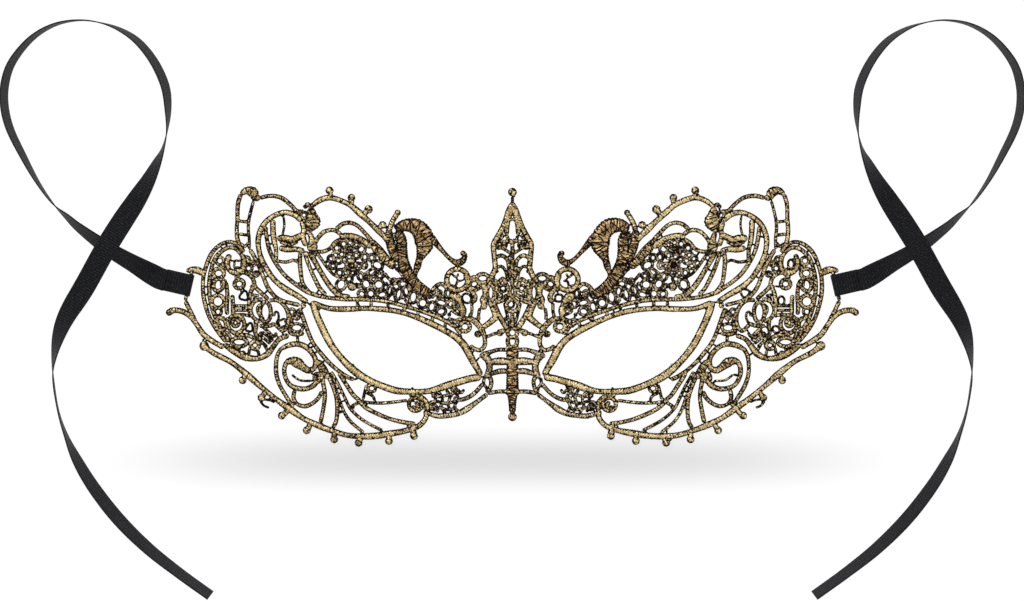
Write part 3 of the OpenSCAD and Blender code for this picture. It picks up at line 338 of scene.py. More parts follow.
# Black ribbon with fine ribs across it
def makeRibWeave():
    tree, takes, gives = newGroup(
        "rib weave",
        [("Black", "NodeSocketColor"), ("Sheen", "NodeSocketColor"), ("Rib", "NodeSocketFloat")],
        [("Color", "NodeSocketColor"), ("Roughness", "NodeSocketFloat"), ("Height", "NodeSocketFloat")])
    weave = add(tree, "ShaderNodeAttribute", attribute_name="weave").outputs["Vector"]
    across, run = add(tree, "ShaderNodeSeparateXYZ", {0: weave}).outputs[:2]
    drift = add(tree, "ShaderNodeTexNoise", {"Vector": weave, "Scale": 0.6, "Detail": 1}).outputs[0]
    turn = calc(tree, "DIVIDE", calc(tree, "MULTIPLY_ADD", drift, 0.35, run), takes["Rib"])
    rib = calc(tree, "ABSOLUTE", calc(tree, "SINE", calc(tree, "MULTIPLY", turn, math.pi)))
    rib = calc(tree, "POWER", rib, 0.7)
    warp = calc(tree, "SINE", calc(tree, "MULTIPLY", across, 2 * math.pi / 0.22))
    stretched = add(tree, "ShaderNodeCombineXYZ", {0: calc(tree, "MULTIPLY", across, 0.9),
                                                   1: calc(tree, "MULTIPLY", run, 5)})
    glint = add(tree, "ShaderNodeTexNoise",
                {"Vector": stretched.outputs[0], "Scale": 1.3, "Detail": 3}).outputs[0]
    shine = calc(tree, "MULTIPLY", ramp(tree, glint, 0.48, 0.66), calc(tree, "MULTIPLY", rib, rib))
    edge = ramp(tree, calc(tree, "ABSOLUTE", across), 3.0, 3.35)
    shine = calc(tree, "MULTIPLY_ADD", edge, 0.1, shine)
    shine = calc(tree, "MULTIPLY", shine, 0.8)
    tree.links.new(mixed(tree, shine, takes["Black"], takes["Sheen"]), gives["Color"])
    tree.links.new(calc(tree, "MULTIPLY_ADD", glint, -0.25, 0.66), gives["Roughness"])
    height = calc(tree, "MULTIPLY", rib, calc(tree, "SUBTRACT", 1, edge))
    height = calc(tree, "MULTIPLY_ADD", warp, 0.12, height)
    tree.links.new(height, gives["Height"])
    return tree


def makeRibbonCloth():
    material, tree, shader = newMaterial("ribbon")
    group = tree.nodes.new("ShaderNodeGroup")
    group.node_tree = makeRibWeave()
    group.inputs["Black"].default_value = ribbonLooks["black"]
    group.inputs["Sheen"].default_value = ribbonLooks["sheen"]
    group.inputs["Rib"].default_value = ribbonLooks["rib"]
    tree.links.new(group.outputs["Color"], shader.inputs["Base Color"])
    tree.links.new(group.outputs["Roughness"], shader.inputs["Roughness"])
    bump = add(tree, "ShaderNodeBump",
               {"Height": group.outputs["Height"], "Strength": 0.8, "Distance": 0.15 * mm})
    tree.links.new(bump.outputs[0], shader.inputs["Normal"])
    shader.inputs["Specular IOR Level"].default_value = 0.12
    return material


ribbonCloth = makeRibbonCloth()


# Wound thread: every strand is a round tube with ridges, pressed flat to its height
stitch = {"sample": 0.2, "pitch": 0.8, "depth": 0.13, "sides": 3, "wobble": 0.05, "hatch": 0.5, "wide": 3.0,
          "fuller": 1.18, "fuzz": 0.16, "bridge": (0.75, 1.7), "apart": 1.5, "rung": 4.5, "bar": 0.66}
threadHeights = ((0.3, 0.6, 0.85, 1.15, 1.5, 1.9, 4), (0.3, 0.6, 0.85, 1.1, 1.35, 1.5, 1.6))


def threadHeight(width):
    return float(np.interp(width, *threadHeights))


def wound(strand, luck):
    # rows of x, y, z, radius, flatness, run, ridge, tone and how much more the foil covers
    points = strand["points"]
    closed = strand["closed"]
    runs = [0]
    for a, b in zip(points, points[1:]):
        runs.append(runs[-1] + math.dist(a[:2], b[:2]))
    total = runs[-1] + (math.dist(points[0][:2], points[-1][:2]) if closed else 0)
    turns = max(1, round(total / stitch["pitch"]))
    tones = [min(1, max(0, luck.gauss(strand["tone"], 0.25))) for k in range(turns + 2)]
    slips = [luck.uniform(-0.2, 0.2) for k in range(turns + 2)]
    slips[turns] = slips[0]
    rows = []
    for (x, y, width, z), run in zip(points, runs):
        turn = run / total * turns
        cell = int(turn)
        turn += slips[cell] + (slips[cell + 1] - slips[cell]) * (turn - cell)
        ridge = abs(math.sin(math.pi * turn)) ** 0.6
        radius = width / 2 * (1 - stitch["depth"] * (1 - ridge))
        if not closed:
            inset = min(run, total - run) / (width / 2)
            radius *= math.sqrt(max(0.001, 1 - (1 - min(1, inset)) ** 2)) if strand.get("round", True) else 1
        flat = strand.get("flat") or threadHeight(width) / width
        rows.append((x, y, z, radius, flat, run, ridge, tones[int(max(0, turn))], strand.get("bias", 0)))
    return rows


def threads(name, strands, luck, material):
    curve = bpy.data.curves.new(name, "CURVE")
    curve.dimensions = "3D"
    curve.twist_mode = "Z_UP"
    curve.bevel_depth = mm
    curve.bevel_resolution = stitch["sides"]
    every = []
    for strand in strands:
        rows = wound(strand, luck)
        every += rows
        spline = curve.splines.new("POLY")
        spline.points.add(len(rows) - 1)
        spline.points.foreach_set("co", [value for row in rows for value in (*(v * mm for v in row[:3]), 1)])
        spline.points.foreach_set("radius", [row[3] for row in rows])
        spline.use_cyclic_u = strand["closed"]
    made = bpy.data.objects.new(name + "_curve", curve)
    bpy.context.scene.collection.objects.link(made)
    made = asMesh(made, name)
    mesh = made.data
    rows = np.array(every)
    sides = len(mesh.vertices) // len(rows)
    if sides * len(rows) != len(mesh.vertices):
        raise RuntimeError(name + ": the tube has an uneven number of corners")
    rows = np.repeat(rows, sides, axis=0)
    spots = np.empty(len(mesh.vertices) * 3)
    mesh.vertices.foreach_get("co", spots)
    spots = spots.reshape(-1, 3)
    above = spots[:, 2] - rows[:, 2] * mm
    # inset rises towards the top of each round cord and falls on its sides; the foil material turns it into
    # the painted edge shade, shifted by each strand's bias.
    crown = np.clip(above / (np.maximum(rows[:, 3], 0.001) * mm), -1, 1)
    upper = 0.85 * rows[:, 3] ** 0.7 * (1 - np.sqrt(1 - crown ** 2))
    inset = np.where(crown > 0, upper, 0.15 * crown) + rows[:, 8]
    spots[:, 2] = np.maximum(rows[:, 2] * mm + above * rows[:, 4], 0.01 * mm)
    mesh.vertices.foreach_set("co", spots.ravel())
    store(mesh, "inset", "FLOAT", inset)
    store(mesh, "wrap", "FLOAT_VECTOR", rows[:, 5:8])
    finished(made)
    made.data.materials.append(material)
    return made


# The lace is drawn for one half, with x counted outwards from the middle, as in the part. A
# motif is its height, cords of (width, points), rings of (width, (x, y, half length, half
# height, turn)) and knots of (diameter, point).
cordH, netH = 1.6, 1.2
boldW, mainW, fineW, netW, threadW, picotD = 1.9, 1.5, 1.15, 0.85, 0.6, 2.6
spire = (cordH, [
    (mainW, [(0, 36.5, 1), (1.1, 34, 1.6), (2, 31.5), (3.1, 28.5), (4.7, 25.5), (6, 23), (5.8, 19),
        (5.5, 15.5), (6.5, 13), (7, 11.5, 1)]),
    (mainW, [(0, 35.5, 1.8), (0.7, 33.5, 1.8), (1.5, 31, 1.7), (1.9, 28.5, 1.7), (1.8, 26, 1.2)]),
    (netW, [(0, 31.5, 1.2), (1.5, 30.5)]),
    (netW, [(1.8, 26), (1, 24), (0, 23.5)]),
    (netW, [(6, 24.5), (3, 24), (0, 24.5)]),
    (fineW, [(0, 24.5), (0, 20), (0, 16), (0, 12), (0, 9.5)]),
    (fineW, [(6, 18.5), (3.5, 19.5), (1.5, 18), (1, 15), (0.5, 12)]),
    (netW, [(5.8, 22.5), (3.5, 22), (1, 20.5), (0, 20)]),
    (netW, [(5.5, 15.5), (3.5, 16), (2.2, 14.5), (1.5, 12), (0, 11)]),
    (fineW, [(6.5, 11), (4.5, 11), (3, 12), (1.8, 10), (1.2, 8)]),
    (fineW, [(5.5, 12), (5, 9.5), (5.5, 7), (5, 4.8)]),
    (fineW, [(5.5, 4.5), (3.5, 5), (2.2, 6.5), (0, 7)]),
    (mainW, [(6, 4.5), (4.8, 1.5), (3.2, -1.5), (1.5, -4)]),
    (netW, [(2.6, 4.5), (1.8, 1), (0.8, -2.5), (0, -3.5)]),
    (fineW, [(0, 1.8), (0, 0), (0, -3.5)]),
    (fineW, [(1.3, -5), (2.5, -4.5), (4, -5.2, 2.2)]),
    (fineW, [(1.2, -6.5), (1.5, -8), (1.2, -9.5), (1.8, -10.5)])
], [(netW, (4, 25.8, 0.9, 0.6, 20)), (netW, (2.6, 22.8, 0.6, 0.7, 0)), (netW, (4.4, 22.5, 0.7, 0.7, 0)),
    (netW, (3, 9, 1.1, 1, 0)), (fineW, (0, 8, 0.9, 1.6, 0)), (netW, (4.2, 7.2, 0.7, 0.9, 0)),
    (fineW, (0, 3.5, 1.9, 1.9, 0)), (fineW, (0, -5.2, 1.5, 1.5, 0))], [(2.4, (4, -5.2)),
    (1.6, (2.2, 6.3)), (1.4, (5, 14.5)), (1.8, (0, 13)), (1.6, (0, 20))])

finial = (cordH, [
    (netW, [(0, 38.4), (0, 36.2)])
], [], [(2.9, (0, 39.8))])

noseBlade = (cordH, [
    (boldW, [(0, -9, 3), (0, -12, 3.4), (0, -18, 3.3), (0, -22.5, 3.3), (0, -24, 4), (0, -26, 2.5),
        (0, -31, 1.9)])
], [], [(2.9, (0, -32.1))])

crossBars = (netH, [
    (fineW, [(0, -10.8), (4, -10.6), (6.5, -11.2), (9, -12.2, 1.6), (10.5, -13)]),
    (mainW, [(0, -14.6), (3.5, -14.3, 2.2), (7.5, -14.6)]),
    (fineW, [(0, -17.6), (4, -17.5, 1.6), (7.5, -18.6)]),
    (fineW, [(0, -24.2), (4, -24), (8, -24.6)]),
    (mainW, [(9.8, -13, 1.8), (8, -13.5, 2.2), (7.3, -16, 1.8), (7.8, -18.5, 1.8), (9, -19.3)]),
    (fineW, [(7.6, -18.8), (6.8, -20.5), (7, -22.5), (8, -24.6)]),
    (netW, [(9, -19.5), (9.2, -21.5), (8.2, -23), (8.2, -24.4)])
], [(netW, (3.3, -14.3, 0.5, 0.3, 0))], [])

eyeRim = (cordH, [
    (mainW, [(64, 4.5), (58.5, 2.6), (52, 2.4), (45.5, 2.6), (36, 1.5), (26.5, -2, 1.7), (17, -7.5, 2),
        (12.5, -14.5, 2), (10, -19, 1.6)]),
    (boldW, [(64, 5), (62, -1, 2.1), (57, -10.5), (49, -18.6, 2.1), (39, -23.2), (33, -24, 1.7),
        (26.5, -23.8, 1.6), (20, -21.8, 2.2), (14, -20, 2), (10, -19.3)])
], [], [(1, (54, -13)), (0.9, (51, -15.5)), (0.9, (32, -23))])

lowerEdge = (cordH, [
    (mainW, [(98.5, -9.5, 2), (97, -10.7), (95, -12), (90, -14.6), (85, -18.5, 1.8), (81, -22),
        (75.5, -26.5), (71, -29.7, 1.9), (67, -32.5), (62.5, -34.7, 1.7), (57.5, -36.6), (52, -38.1),
        (45.5, -38.3, 1.7), (40, -37.6, 1.9), (34.5, -36.6), (30, -35), (27.7, -32.3), (27.8, -29.8)]),
    (mainW, [(85.5, -18.5), (86.2, -20.5)]),
    (mainW, [(79, -24), (80.3, -26.2)]),
    (mainW, [(71.5, -29.5), (73.5, -31.8)]),
    (mainW, [(64.5, -34), (65.8, -36.8)]),
    (mainW, [(57, -37), (57, -39.4)]),
    (mainW, [(48.5, -38.3), (49.2, -40.5)]),
    (mainW, [(39.5, -38), (39.5, -40)]),
    (mainW, [(32, -34.5), (31.5, -38.2, 2)]),
    (threadW, [(80.8, -27), (79.5, -28.5), (77.8, -29.2)]),
    (threadW, [(79.8, -26.5), (77.5, -26.8), (76, -27.5)])
], [], [(3.2, (98.6, -9.4)), (picotD, (86.3, -20.4)), (picotD, (80.3, -26)), (picotD, (73.8, -31.7)),
    (picotD, (65.8, -36.4)), (picotD, (57, -39.3)), (picotD, (49.2, -40.4)), (picotD, (39.5, -39.8)),
    (picotD, (31.5, -38.2))])

sideLoop = (cordH, [
    (mainW, [(barTop[0] + 2, barTop[1] - 0.4, 1), (barTop[0], barTop[1], 1.8), (100.3, 14.6, 2),
        (98.6, 13.4, 1.4)]),
    (fineW, [(barFoot[0], barFoot[1], 1.3), (103.4, 2.4), (102, -0.4), (101.3, -2)])
], [], [])

sideTail = (cordH, [
    (mainW, [(110, 1.2, 2.2), (108.3, 2), (105.5, 1.6), (103, 0), (101, -2.5), (99, -5.5), (96.5, -7.5),
        (94, -9), (92.2, -10, 1.7)])
], [], [(2.3, (109.8, 1.3))])

crescent = (cordH, [
    (mainW, [(67.5, 30.5), (69.5, 32.4), (73, 33.3), (77, 31.8), (79.7, 29.2), (81.2, 25.5), (81.2, 22),
        (80.3, 18.5), (78.5, 15), (76, 11.6), (72.5, 8.8, 1.8), (69, 6.8), (65.5, 4.4)]),
    (fineW, [(79, 28), (78.5, 24.5), (77.8, 21.5), (76.5, 18.5), (75, 16), (73, 13.4), (70.5, 11.2),
        (68, 9.4), (66, 8)]),
    (mainW, [(76.6, 31), (76.6, 27.5), (76.2, 24), (75.6, 21.2, 1.2), (75.6, 17.5, 1.1)]),
    (boldW, [(75.3, 25), (72.5, 25), (70.5, 24.6), (68.5, 25.4), (67, 26.6, 1.2)]),
    (mainW, [(74.7, 22), (72, 21.5, 1.7), (69, 21.5, 1.6), (66.5, 20.8)]),
    (netW, [(74.5, 24), (71.3, 22.9), (68.5, 24)]),
    (netW, [(75.3, 17.8), (72.5, 17.4), (70, 18), (68.2, 17.2)]),
    (threadW, [(73.2, 31.8), (73, 29), (73.6, 26)]),
    (mainW, [(67.5, 30.5), (66.7, 28), (67, 25.5), (66, 22.5)]),
    (fineW, [(84, 21.5), (82.5, 19), (81, 16, 1.3), (79.6, 12.5), (78.2, 9.2), (76, 6.5), (73.5, 5),
        (70.5, 4.2), (68, 3.6)]),
    (mainW, [(67.2, 4.5), (66.6, 2.6)])
], [], [(1.6, (71.3, 22.9)), (2, (66.5, 5)), (1.8, (79, 28))])

crestArch = (cordH, [
    (mainW, [(64.5, 35, 1.2), (62, 37), (59, 38), (56, 37.5), (52, 35.7), (49, 33.2, 1.8), (46, 30.5),
        (43, 27.6, 1.8), (40.5, 25), (38, 21), (36.5, 18)]),
    (fineW, [(58.2, 38.2), (58.4, 40)]),
    (mainW, [(51.5, 35.8), (51.5, 38)]),
    (mainW, [(47.5, 32.5), (46.2, 34.4)]),
    (mainW, [(43, 28), (41.6, 29.4)]),
    (mainW, [(39.5, 27), (38.6, 30), (36.8, 33)]),
    (fineW, [(63.5, 22.5), (62.3, 25), (60, 27.2), (57, 27.6), (54.6, 26)]),
    (fineW, [(56.5, 27.8), (54.5, 29.5), (52, 30), (49.5, 29), (47, 26.5), (44.8, 24)]),
    (mainW, [(54.6, 26), (51.5, 25.6, 1.8), (49, 25), (46.8, 23.5, 2), (45, 22)]),
    (boldW, [(45, 22.5, 1.6), (42.5, 20.5, 2.4), (40, 17.8, 2.4), (37.4, 15.6, 2.2)]),
    (netW, [(44.8, 24.5), (42, 21.8), (39.8, 19), (38.3, 17.2)]),
    (fineW, [(63, 20.8), (60.5, 20.8), (58.3, 21.8), (56.8, 23.6), (54.8, 24.8)])
], [], [(2.7, (58.5, 40.3)), (picotD, (51.5, 38)), (2.8, (46, 34.3)), (picotD, (41.5, 29.3)),
    (2.1, (36.7, 33.2)), (2.2, (54.3, 25.6)), (1.8, (44.8, 23.8))])

crestLoop = (cordH, [
    (fineW, [(86.8, 39.2), (87.8, 36), (88, 31), (88.2, 28), (88, 25), (87, 22), (86.5, 20.5)]),
    (netW, [(82.8, 37), (83.5, 34.5), (84.3, 31), (84.5, 28), (84.2, 25), (84.2, 21.5)]),
    (mainW, [(87, 39, 1.2), (85.2, 40.2, 2), (83.2, 39.8, 2.8), (82, 38.2, 2.2), (80.5, 38, 1.3)]),
    (fineW, [(80.8, 37.9), (77.5, 38.6), (74, 38), (71, 35.8), (69, 33.8), (66.6, 33.6)]),
    (netW, [(87.8, 30.6), (84.5, 30.2)]),
    (netW, [(87.5, 26.4), (84.4, 26)]),
    (netW, [(87.2, 23.5), (85.5, 22.5), (84.4, 23.8)])
], [], [(2.6, (83.2, 40))])

sideRosette = (cordH, [
    (fineW, [(85.8, 20.5), (87.4, 22.5), (90, 23.8), (93, 23.2), (95.8, 20.8), (97.5, 17.5), (98.8, 13),
        (99, 8.5), (98.4, 4.5), (97, 0), (94.8, -4), (91.5, -8.2)]),
    (fineW, [(85.8, 18.5), (88.3, 21.5), (91, 22), (93.8, 20.2), (95.6, 17.5), (96.8, 13), (97, 8.5),
        (96.4, 4), (95.2, 0), (93, -4), (90.5, -8)]),
    (mainW, [(92.2, -8.8), (89, -11.2, 1.8), (85.5, -13, 1.9), (81.5, -13.4), (78.4, -12, 1.8),
        (76.4, -9.5), (74.5, -7.2, 1.3), (71.5, -6)]),
    (mainW, [(86.4, 20), (85.8, 17), (86.6, 14.6), (88.6, 14, 1.8), (90.6, 15, 1.4), (91.2, 17.5),
        (90.4, 20)]),
    (fineW, [(91.6, 11), (91.2, 7), (91.4, 3), (91.2, 0.5)]),
    (fineW, [(89.6, 7), (89.4, 3.5), (89.4, 0.5)]),
    (fineW, [(88.8, 12), (86.5, 14), (83.8, 13), (82.6, 10.5), (83.8, 7.5), (84.2, 4), (84, 0.5)]),
    (netW, [(89.4, 3.4), (84.2, 3.4)]),
    (netW, [(89.4, 2), (84.2, 2)]),
    (netW, [(89, 0.4), (86, 0.6), (83.8, 0)]),
    (fineW, [(79.8, 5.6), (82.6, 4.8), (83.8, 2.2), (82.8, -0.4), (80.4, -1.8)]),
    (netW, [(79.4, 4.4), (81.4, 3), (81.2, 1), (79.8, 0)]),
    (fineW, [(77.8, 5.2), (75, 5, 1), (72.6, 3), (71.6, 0), (72, -3), (73.4, -4.6), (75, -3.4),
        (76, -2.2)]),
    (threadW, [(75.6, -2.2), (74.8, -0.5), (75, 1.2), (75.9, 1.4), (76.2, 0)]),
    (fineW, [(81, -3), (78, -3), (75.8, -2.2)]),
    (netW, [(80, -3.2), (78, -5), (76.4, -6.4), (75.4, -5)]),
    (fineW, [(82.2, -0.6), (82, -3), (82.2, -5.5), (80, -7.6)]),
    (fineW, [(83, 12.8), (82.4, 9.8), (80.4, 7.6), (78, 5.4)]),
    (netW, [(84, 9.8), (81.6, 8.8)]),
    (netW, [(83.6, 7), (81, 6.6)]),
    (fineW, [(94.8, 12), (93, 11.8), (92, 10.6)]),
    (fineW, [(91.8, -0.4), (93.2, -0.6), (95, 0.6)]),
    (netW, [(82.6, -6.4), (80.4, -8), (78.4, -9.8)]),
    (netW, [(81.4, -5.6), (79, -7.4), (77.4, -8.8)]),
    (netW, [(80.2, -4.8), (78, -6.6), (76.4, -7.8)]),
    (fineW, [(90.6, -4), (88.4, -5.6), (85, -6), (82.4, -7)]),
    (netW, [(89, -9), (87, -11)]),
    (netW, [(84, -9.8), (84.4, -12.4)]),
    (netW, [(81.4, -10.8), (81, -13)]),
    (netW, [(79.6, -8.8), (78, -11.4)])
], [(netW, (93.6, 17.8, 1.2, 1.2, 0)), (netW, (92.6, 15.6, 0.8, 0.8, 0)),
    (fineW, (94, 13.8, 1.7, 1.5, 0)), (fineW, (94, 10.2, 1.6, 2.1, 20)),
    (netW, (92.4, 10.6, 0.7, 1, 0)), (fineW, (94.2, 4.8, 2, 2, 0)), (netW, (94.2, 1.6, 1.1, 1.3, 0)),
    (fineW, (93.4, -2.4, 1.7, 2, -25)), (fineW, (88.4, -2.4, 2.6, 2.8, 0)),
    (fineW, (88.6, -2, 1, 1.1, 0)), (fineW, (87.4, 10.4, 1.5, 1.4, 0)),
    (netW, (91.4, -6.4, 0.9, 1.6, -35)), (fineW, (87.4, -8.2, 2.4, 1.4, 0)),
    (fineW, (82.4, -9.2, 1.3, 1.2, 0)), (netW, (85, 18.2, 0.9, 0.9, 0)),
    (netW, (84.4, 15.4, 1.1, 1.1, 0)), (netW, (83, 17, 0.7, 0.7, 0)), (netW, (82, 13.6, 0.7, 0.7, 0)),
    (fineW, (79, 1.4, 1.7, 3.2, 0))], [(2.2, (87.4, 14.6)), (2, (90, -9.6)), (2, (86.2, -11.8)),
    (1.8, (95.6, 11.4)), (1.6, (82.4, 5.6)), (1.8, (91, -1)), (1.8, (80.4, -5.6)), (1.6, (77.4, -7.6))])

swanScroll = (cordH, [
    (3.2, [(37, 27.4, 2.6), (35.6, 24.5), (35.4, 21), (35, 17.5), (33.6, 14.2), (31.6, 11.2), (29, 8.6),
        (26, 7, 2.4)]),
    (2, [(39.6, 27.8), (39.2, 24.5, 2.4), (38.3, 21, 2.6), (36.8, 17.5, 2)]),
    (4.5, [(37.4, 27.8, 2.4), (34.2, 29.2, 3.6), (30.8, 28.6, 4.8), (28.6, 26, 5.2), (28.2, 22.8, 5),
        (29, 20.2, 3.2), (29.8, 18.2, 2), (30.4, 16, 2), (31, 14, 1.2), (31.2, 12, 1)]),
    (1.8, [(26.4, 26, 2), (24.4, 23.4), (22, 20.6, 1.2), (19.6, 18.2, 1.2), (17.6, 17.2, 1.8),
        (16, 17.8, 1.9), (15.2, 19.4, 1.4), (15.7, 20.4, 1.5)])
], [], [(1.9, (15.8, 20.2))])

bridgeRing = (cordH, [
    (fineW, [(18, 15.8), (17.6, 17)]),
    (mainW, [(15.2, 13.8, 1.8), (14.2, 11.5, 1.8), (15, 8.8, 1.4)]),
    (fineW, [(26, 7.6), (24.6, 9.6), (22.6, 10.4), (20.8, 9)]),
    (netW, [(20.4, 9.8), (18.4, 9.6), (17.6, 8.6)]),
    (threadW, [(19.4, 13.6), (18, 12.6), (17.2, 13.8)]),
    (threadW, [(18, 9.8), (17.6, 11.2), (16.2, 11.4)])
], [(mainW, (17.6, 11.8, 3.4, 3.4, 0))], [(1.4, (14.6, 14))])

bridgeScroll = (cordH, [
    (mainW, [(14, 9.4), (12.8, 7.8), (12, 6), (12.8, 4.4)]),
    (netW, [(13, 4.4), (13, 1.5), (13.6, -0.6)]),
    (mainW, [(10, 10.4), (8.8, 9.2, 1.9), (8.8, 7), (9.6, 5.4), (9, 3.6, 1.9), (10.2, 2.6)]),
    (netW, [(10.4, 2.8), (10.8, 0.5), (10.6, -1.2)]),
    (mainW, [(7.4, 4.8), (6.2, 2.4), (5.4, 0, 1.8), (6.4, -1.2, 1.7), (8, -2.5), (9.6, -3.6)]),
    (fineW, [(13.8, 11.6), (12.2, 12.6), (11, 11.2), (10, 9.6)]),
    (fineW, [(16, -0.6), (13.6, -0.8), (11.6, -2.4), (10, -4.4), (8.9, -6.8), (8.9, -9.2), (10.2, -10.7),
        (12, -10.4), (13.6, -9.2)]),
    (fineW, [(14, -0.2), (11.8, -1.4), (9.8, -3.6), (8.8, -6)]),
    (netW, [(8.8, -6.8), (6, -5.6), (4.2, -5.2)]),
    (netW, [(9.6, -3.4), (7, -2), (5.4, -1)]),
    (netW, [(15.2, 8.6), (12.4, 8.2), (9.8, 9.4)]),
    (fineW, [(20.4, 6.6, 1.2), (18, 6.2, 2.4), (16.4, 4, 1.4), (16, 2, 2.2), (15.8, -0.4, 1.2)]),
    (netW, [(19.4, 2), (17.6, 0.8), (16, 0.4)]),
    (netW, [(20.4, -0.6), (18.4, -1.2), (16.4, -1)]),
    (fineW, [(18.8, -2.4), (17.6, -4.2), (16.4, -5.8)])
], [(fineW, (9.5, 12.2, 1.9, 1.4, 0)), (netW, (7.2, 11.6, 0.8, 0.8, 0)),
    (fineW, (12.2, 10.4, 1.5, 1.3, -30)), (fineW, (6.9, 7.6, 1.2, 2.6, 0)),
    (fineW, (15.2, -3.3, 1.6, 1.5, 0)), (netW, (11, -5.6, 0.7, 0.6, 0)),
    (netW, (17, -1.4, 0.7, 0.6, 0)), (netW, (18.4, 3.2, 0.6, 0.9, -30))], [(2.4, (18.2, 6)),
    (2, (16.6, 2.4)), (2, (18.4, -1.6)), (1.8, (9, 4.6)), (1.6, (15.2, -0.6)), (1.4, (18.2, -3.4))])

crestLeaf = (cordH, [
    (1.5, [(64.3, 35, 1.8), (64.3, 32.8, 3), (64, 30.4, 4.8), (64.6, 28.4, 3.2), (65, 27, 1.4)]),
    (mainW, [(65, 27, 1.4), (64.2, 24.8, 1.8), (64, 22.4, 3), (64.2, 20.4, 2.6)]),
    (fineW, [(66.4, 35.6), (65.4, 35.8), (64.6, 35)])
], [(netW, (66.7, 32.4, 1, 1, 0))], [(1.6, (66.2, 35.2))])

crestStems = (cordH, [
    (fineW, [(67.8, 20.6), (68, 17.5), (67.7, 14), (67.2, 11), (66, 8.9), (64.8, 7.6)]),
    (fineW, [(66.4, 20.2), (65.4, 17.2), (64.3, 14.4), (63, 11.6), (61.6, 9), (59.6, 6.8)]),
    (mainW, [(64.8, 20.4), (63.2, 17.6), (61.6, 14.8), (59.8, 11.8), (57.6, 8.8), (55.2, 6.8),
        (51.8, 6.2)]),
    (netW, [(63, 21), (61, 18.2), (59.2, 15.6), (57.4, 13.6), (55.6, 12.6)])
], [], [(2, (66, 20)), (1.8, (63.4, 19.6))])

lowerScroll = (cordH, [
    (fineW, [(73.6, -9.8), (75, -12), (75.6, -15), (75.5, -18.5), (74.4, -22), (72.4, -25.5),
        (70.4, -28.6)]),
    (mainW, [(74, -10.4, 1.2), (71.6, -9.2), (68.6, -8.8), (66, -9.8), (64, -11.8), (63, -14),
        (63.4, -16.4), (65.2, -17.2, 1.8), (67, -16.2, 2.1), (68.8, -14.8, 2.9), (70.8, -14.2, 2.2),
        (72.4, -15, 1.4), (73, -17.2, 1.3), (72.5, -19.8, 1.2), (71, -22, 1.2), (68.6, -23, 1.4),
        (66, -23.1, 1.4), (63.6, -22), (62, -20, 1.2), (61, -17.8, 1.2)]),
    (fineW, [(69.6, -23.4), (70, -26), (68.8, -28, 1), (66.4, -28.7), (64, -27.8), (62, -26),
        (60.9, -23.8)]),
    (threadW, [(70.6, -18.6), (68, -20.4), (64.4, -20.6)]),
    (fineW, [(69.8, -27.4), (71.4, -29.6)]),
    (fineW, [(72.6, 3.3), (71.2, 0), (70.8, -2.5), (71.2, -5), (69, -5.8), (66.6, -5.2)]),
    (netW, [(68.8, -5.8), (68.6, -8.6)])
], [(netW, (69, -3.6, 1.9, 1.3, 0)), (netW, (70.6, 1.4, 1, 1, 0)), (netW, (69, 0, 0.7, 0.9, 0))], [
    (1.8, (70.8, -1.6)), (1.6, (68.4, 1.8))])

petalFan = (cordH, [
    (fineW, [(68.2, 2.8), (66.8, -1), (65.5, -4.6), (63.8, -8.4), (61.4, -11.6), (58.6, -14.8),
        (55.6, -17.4), (52.6, -19.4), (50.6, -20.2)]),
    (mainW, [(62.8, -14), (61.4, -15.6, 2.2), (60, -18, 2.4), (59, -20, 1.6)]),
    (fineW, [(61.2, -17), (60.6, -21), (60, -25), (60.4, -29), (61.4, -34)]),
    (fineW, [(59.6, -17.5), (57.8, -21.5), (56.4, -25.5), (56, -29.5), (56.4, -33.5), (57.6, -35.8)]),
    (netW, [(58.8, -18.5), (56.8, -22.5), (55.4, -26.5), (53.8, -30.6), (51.6, -33.8), (47.5, -37.2)]),
    (netW, [(58, -17.6), (55.4, -22.2), (53.6, -26), (51.8, -29.5), (48.6, -32.6), (45, -34.8),
        (41.6, -36.5)]),
    (fineW, [(55.6, -18), (53, -22), (50.8, -25.2), (48.6, -27)]),
    (netW, [(49, -27), (45.5, -27.6), (42, -27.7), (38, -27.4), (33.6, -26.8)]),
    (fineW, [(49.6, -26.6), (46.8, -29.2), (43, -31.2), (39, -32.8), (35, -33.8), (31, -34.4)]),
    (netW, [(51.6, -28.8), (49, -27.4)]),
    (netW, [(46.6, -21.8), (47.2, -24), (47.8, -26.6)]),
    (netW, [(46.8, -24.4), (44.8, -25.4), (44, -27)])
], [(netW, (45, -23, 1.2, 1.1, 0)), (fineW, (62.4, -19.6, 0.9, 1.3, 0))], [(2.4, (60.6, -16.4)),
    (1.8, (49, -27.2)), (1.6, (51.2, -29))])

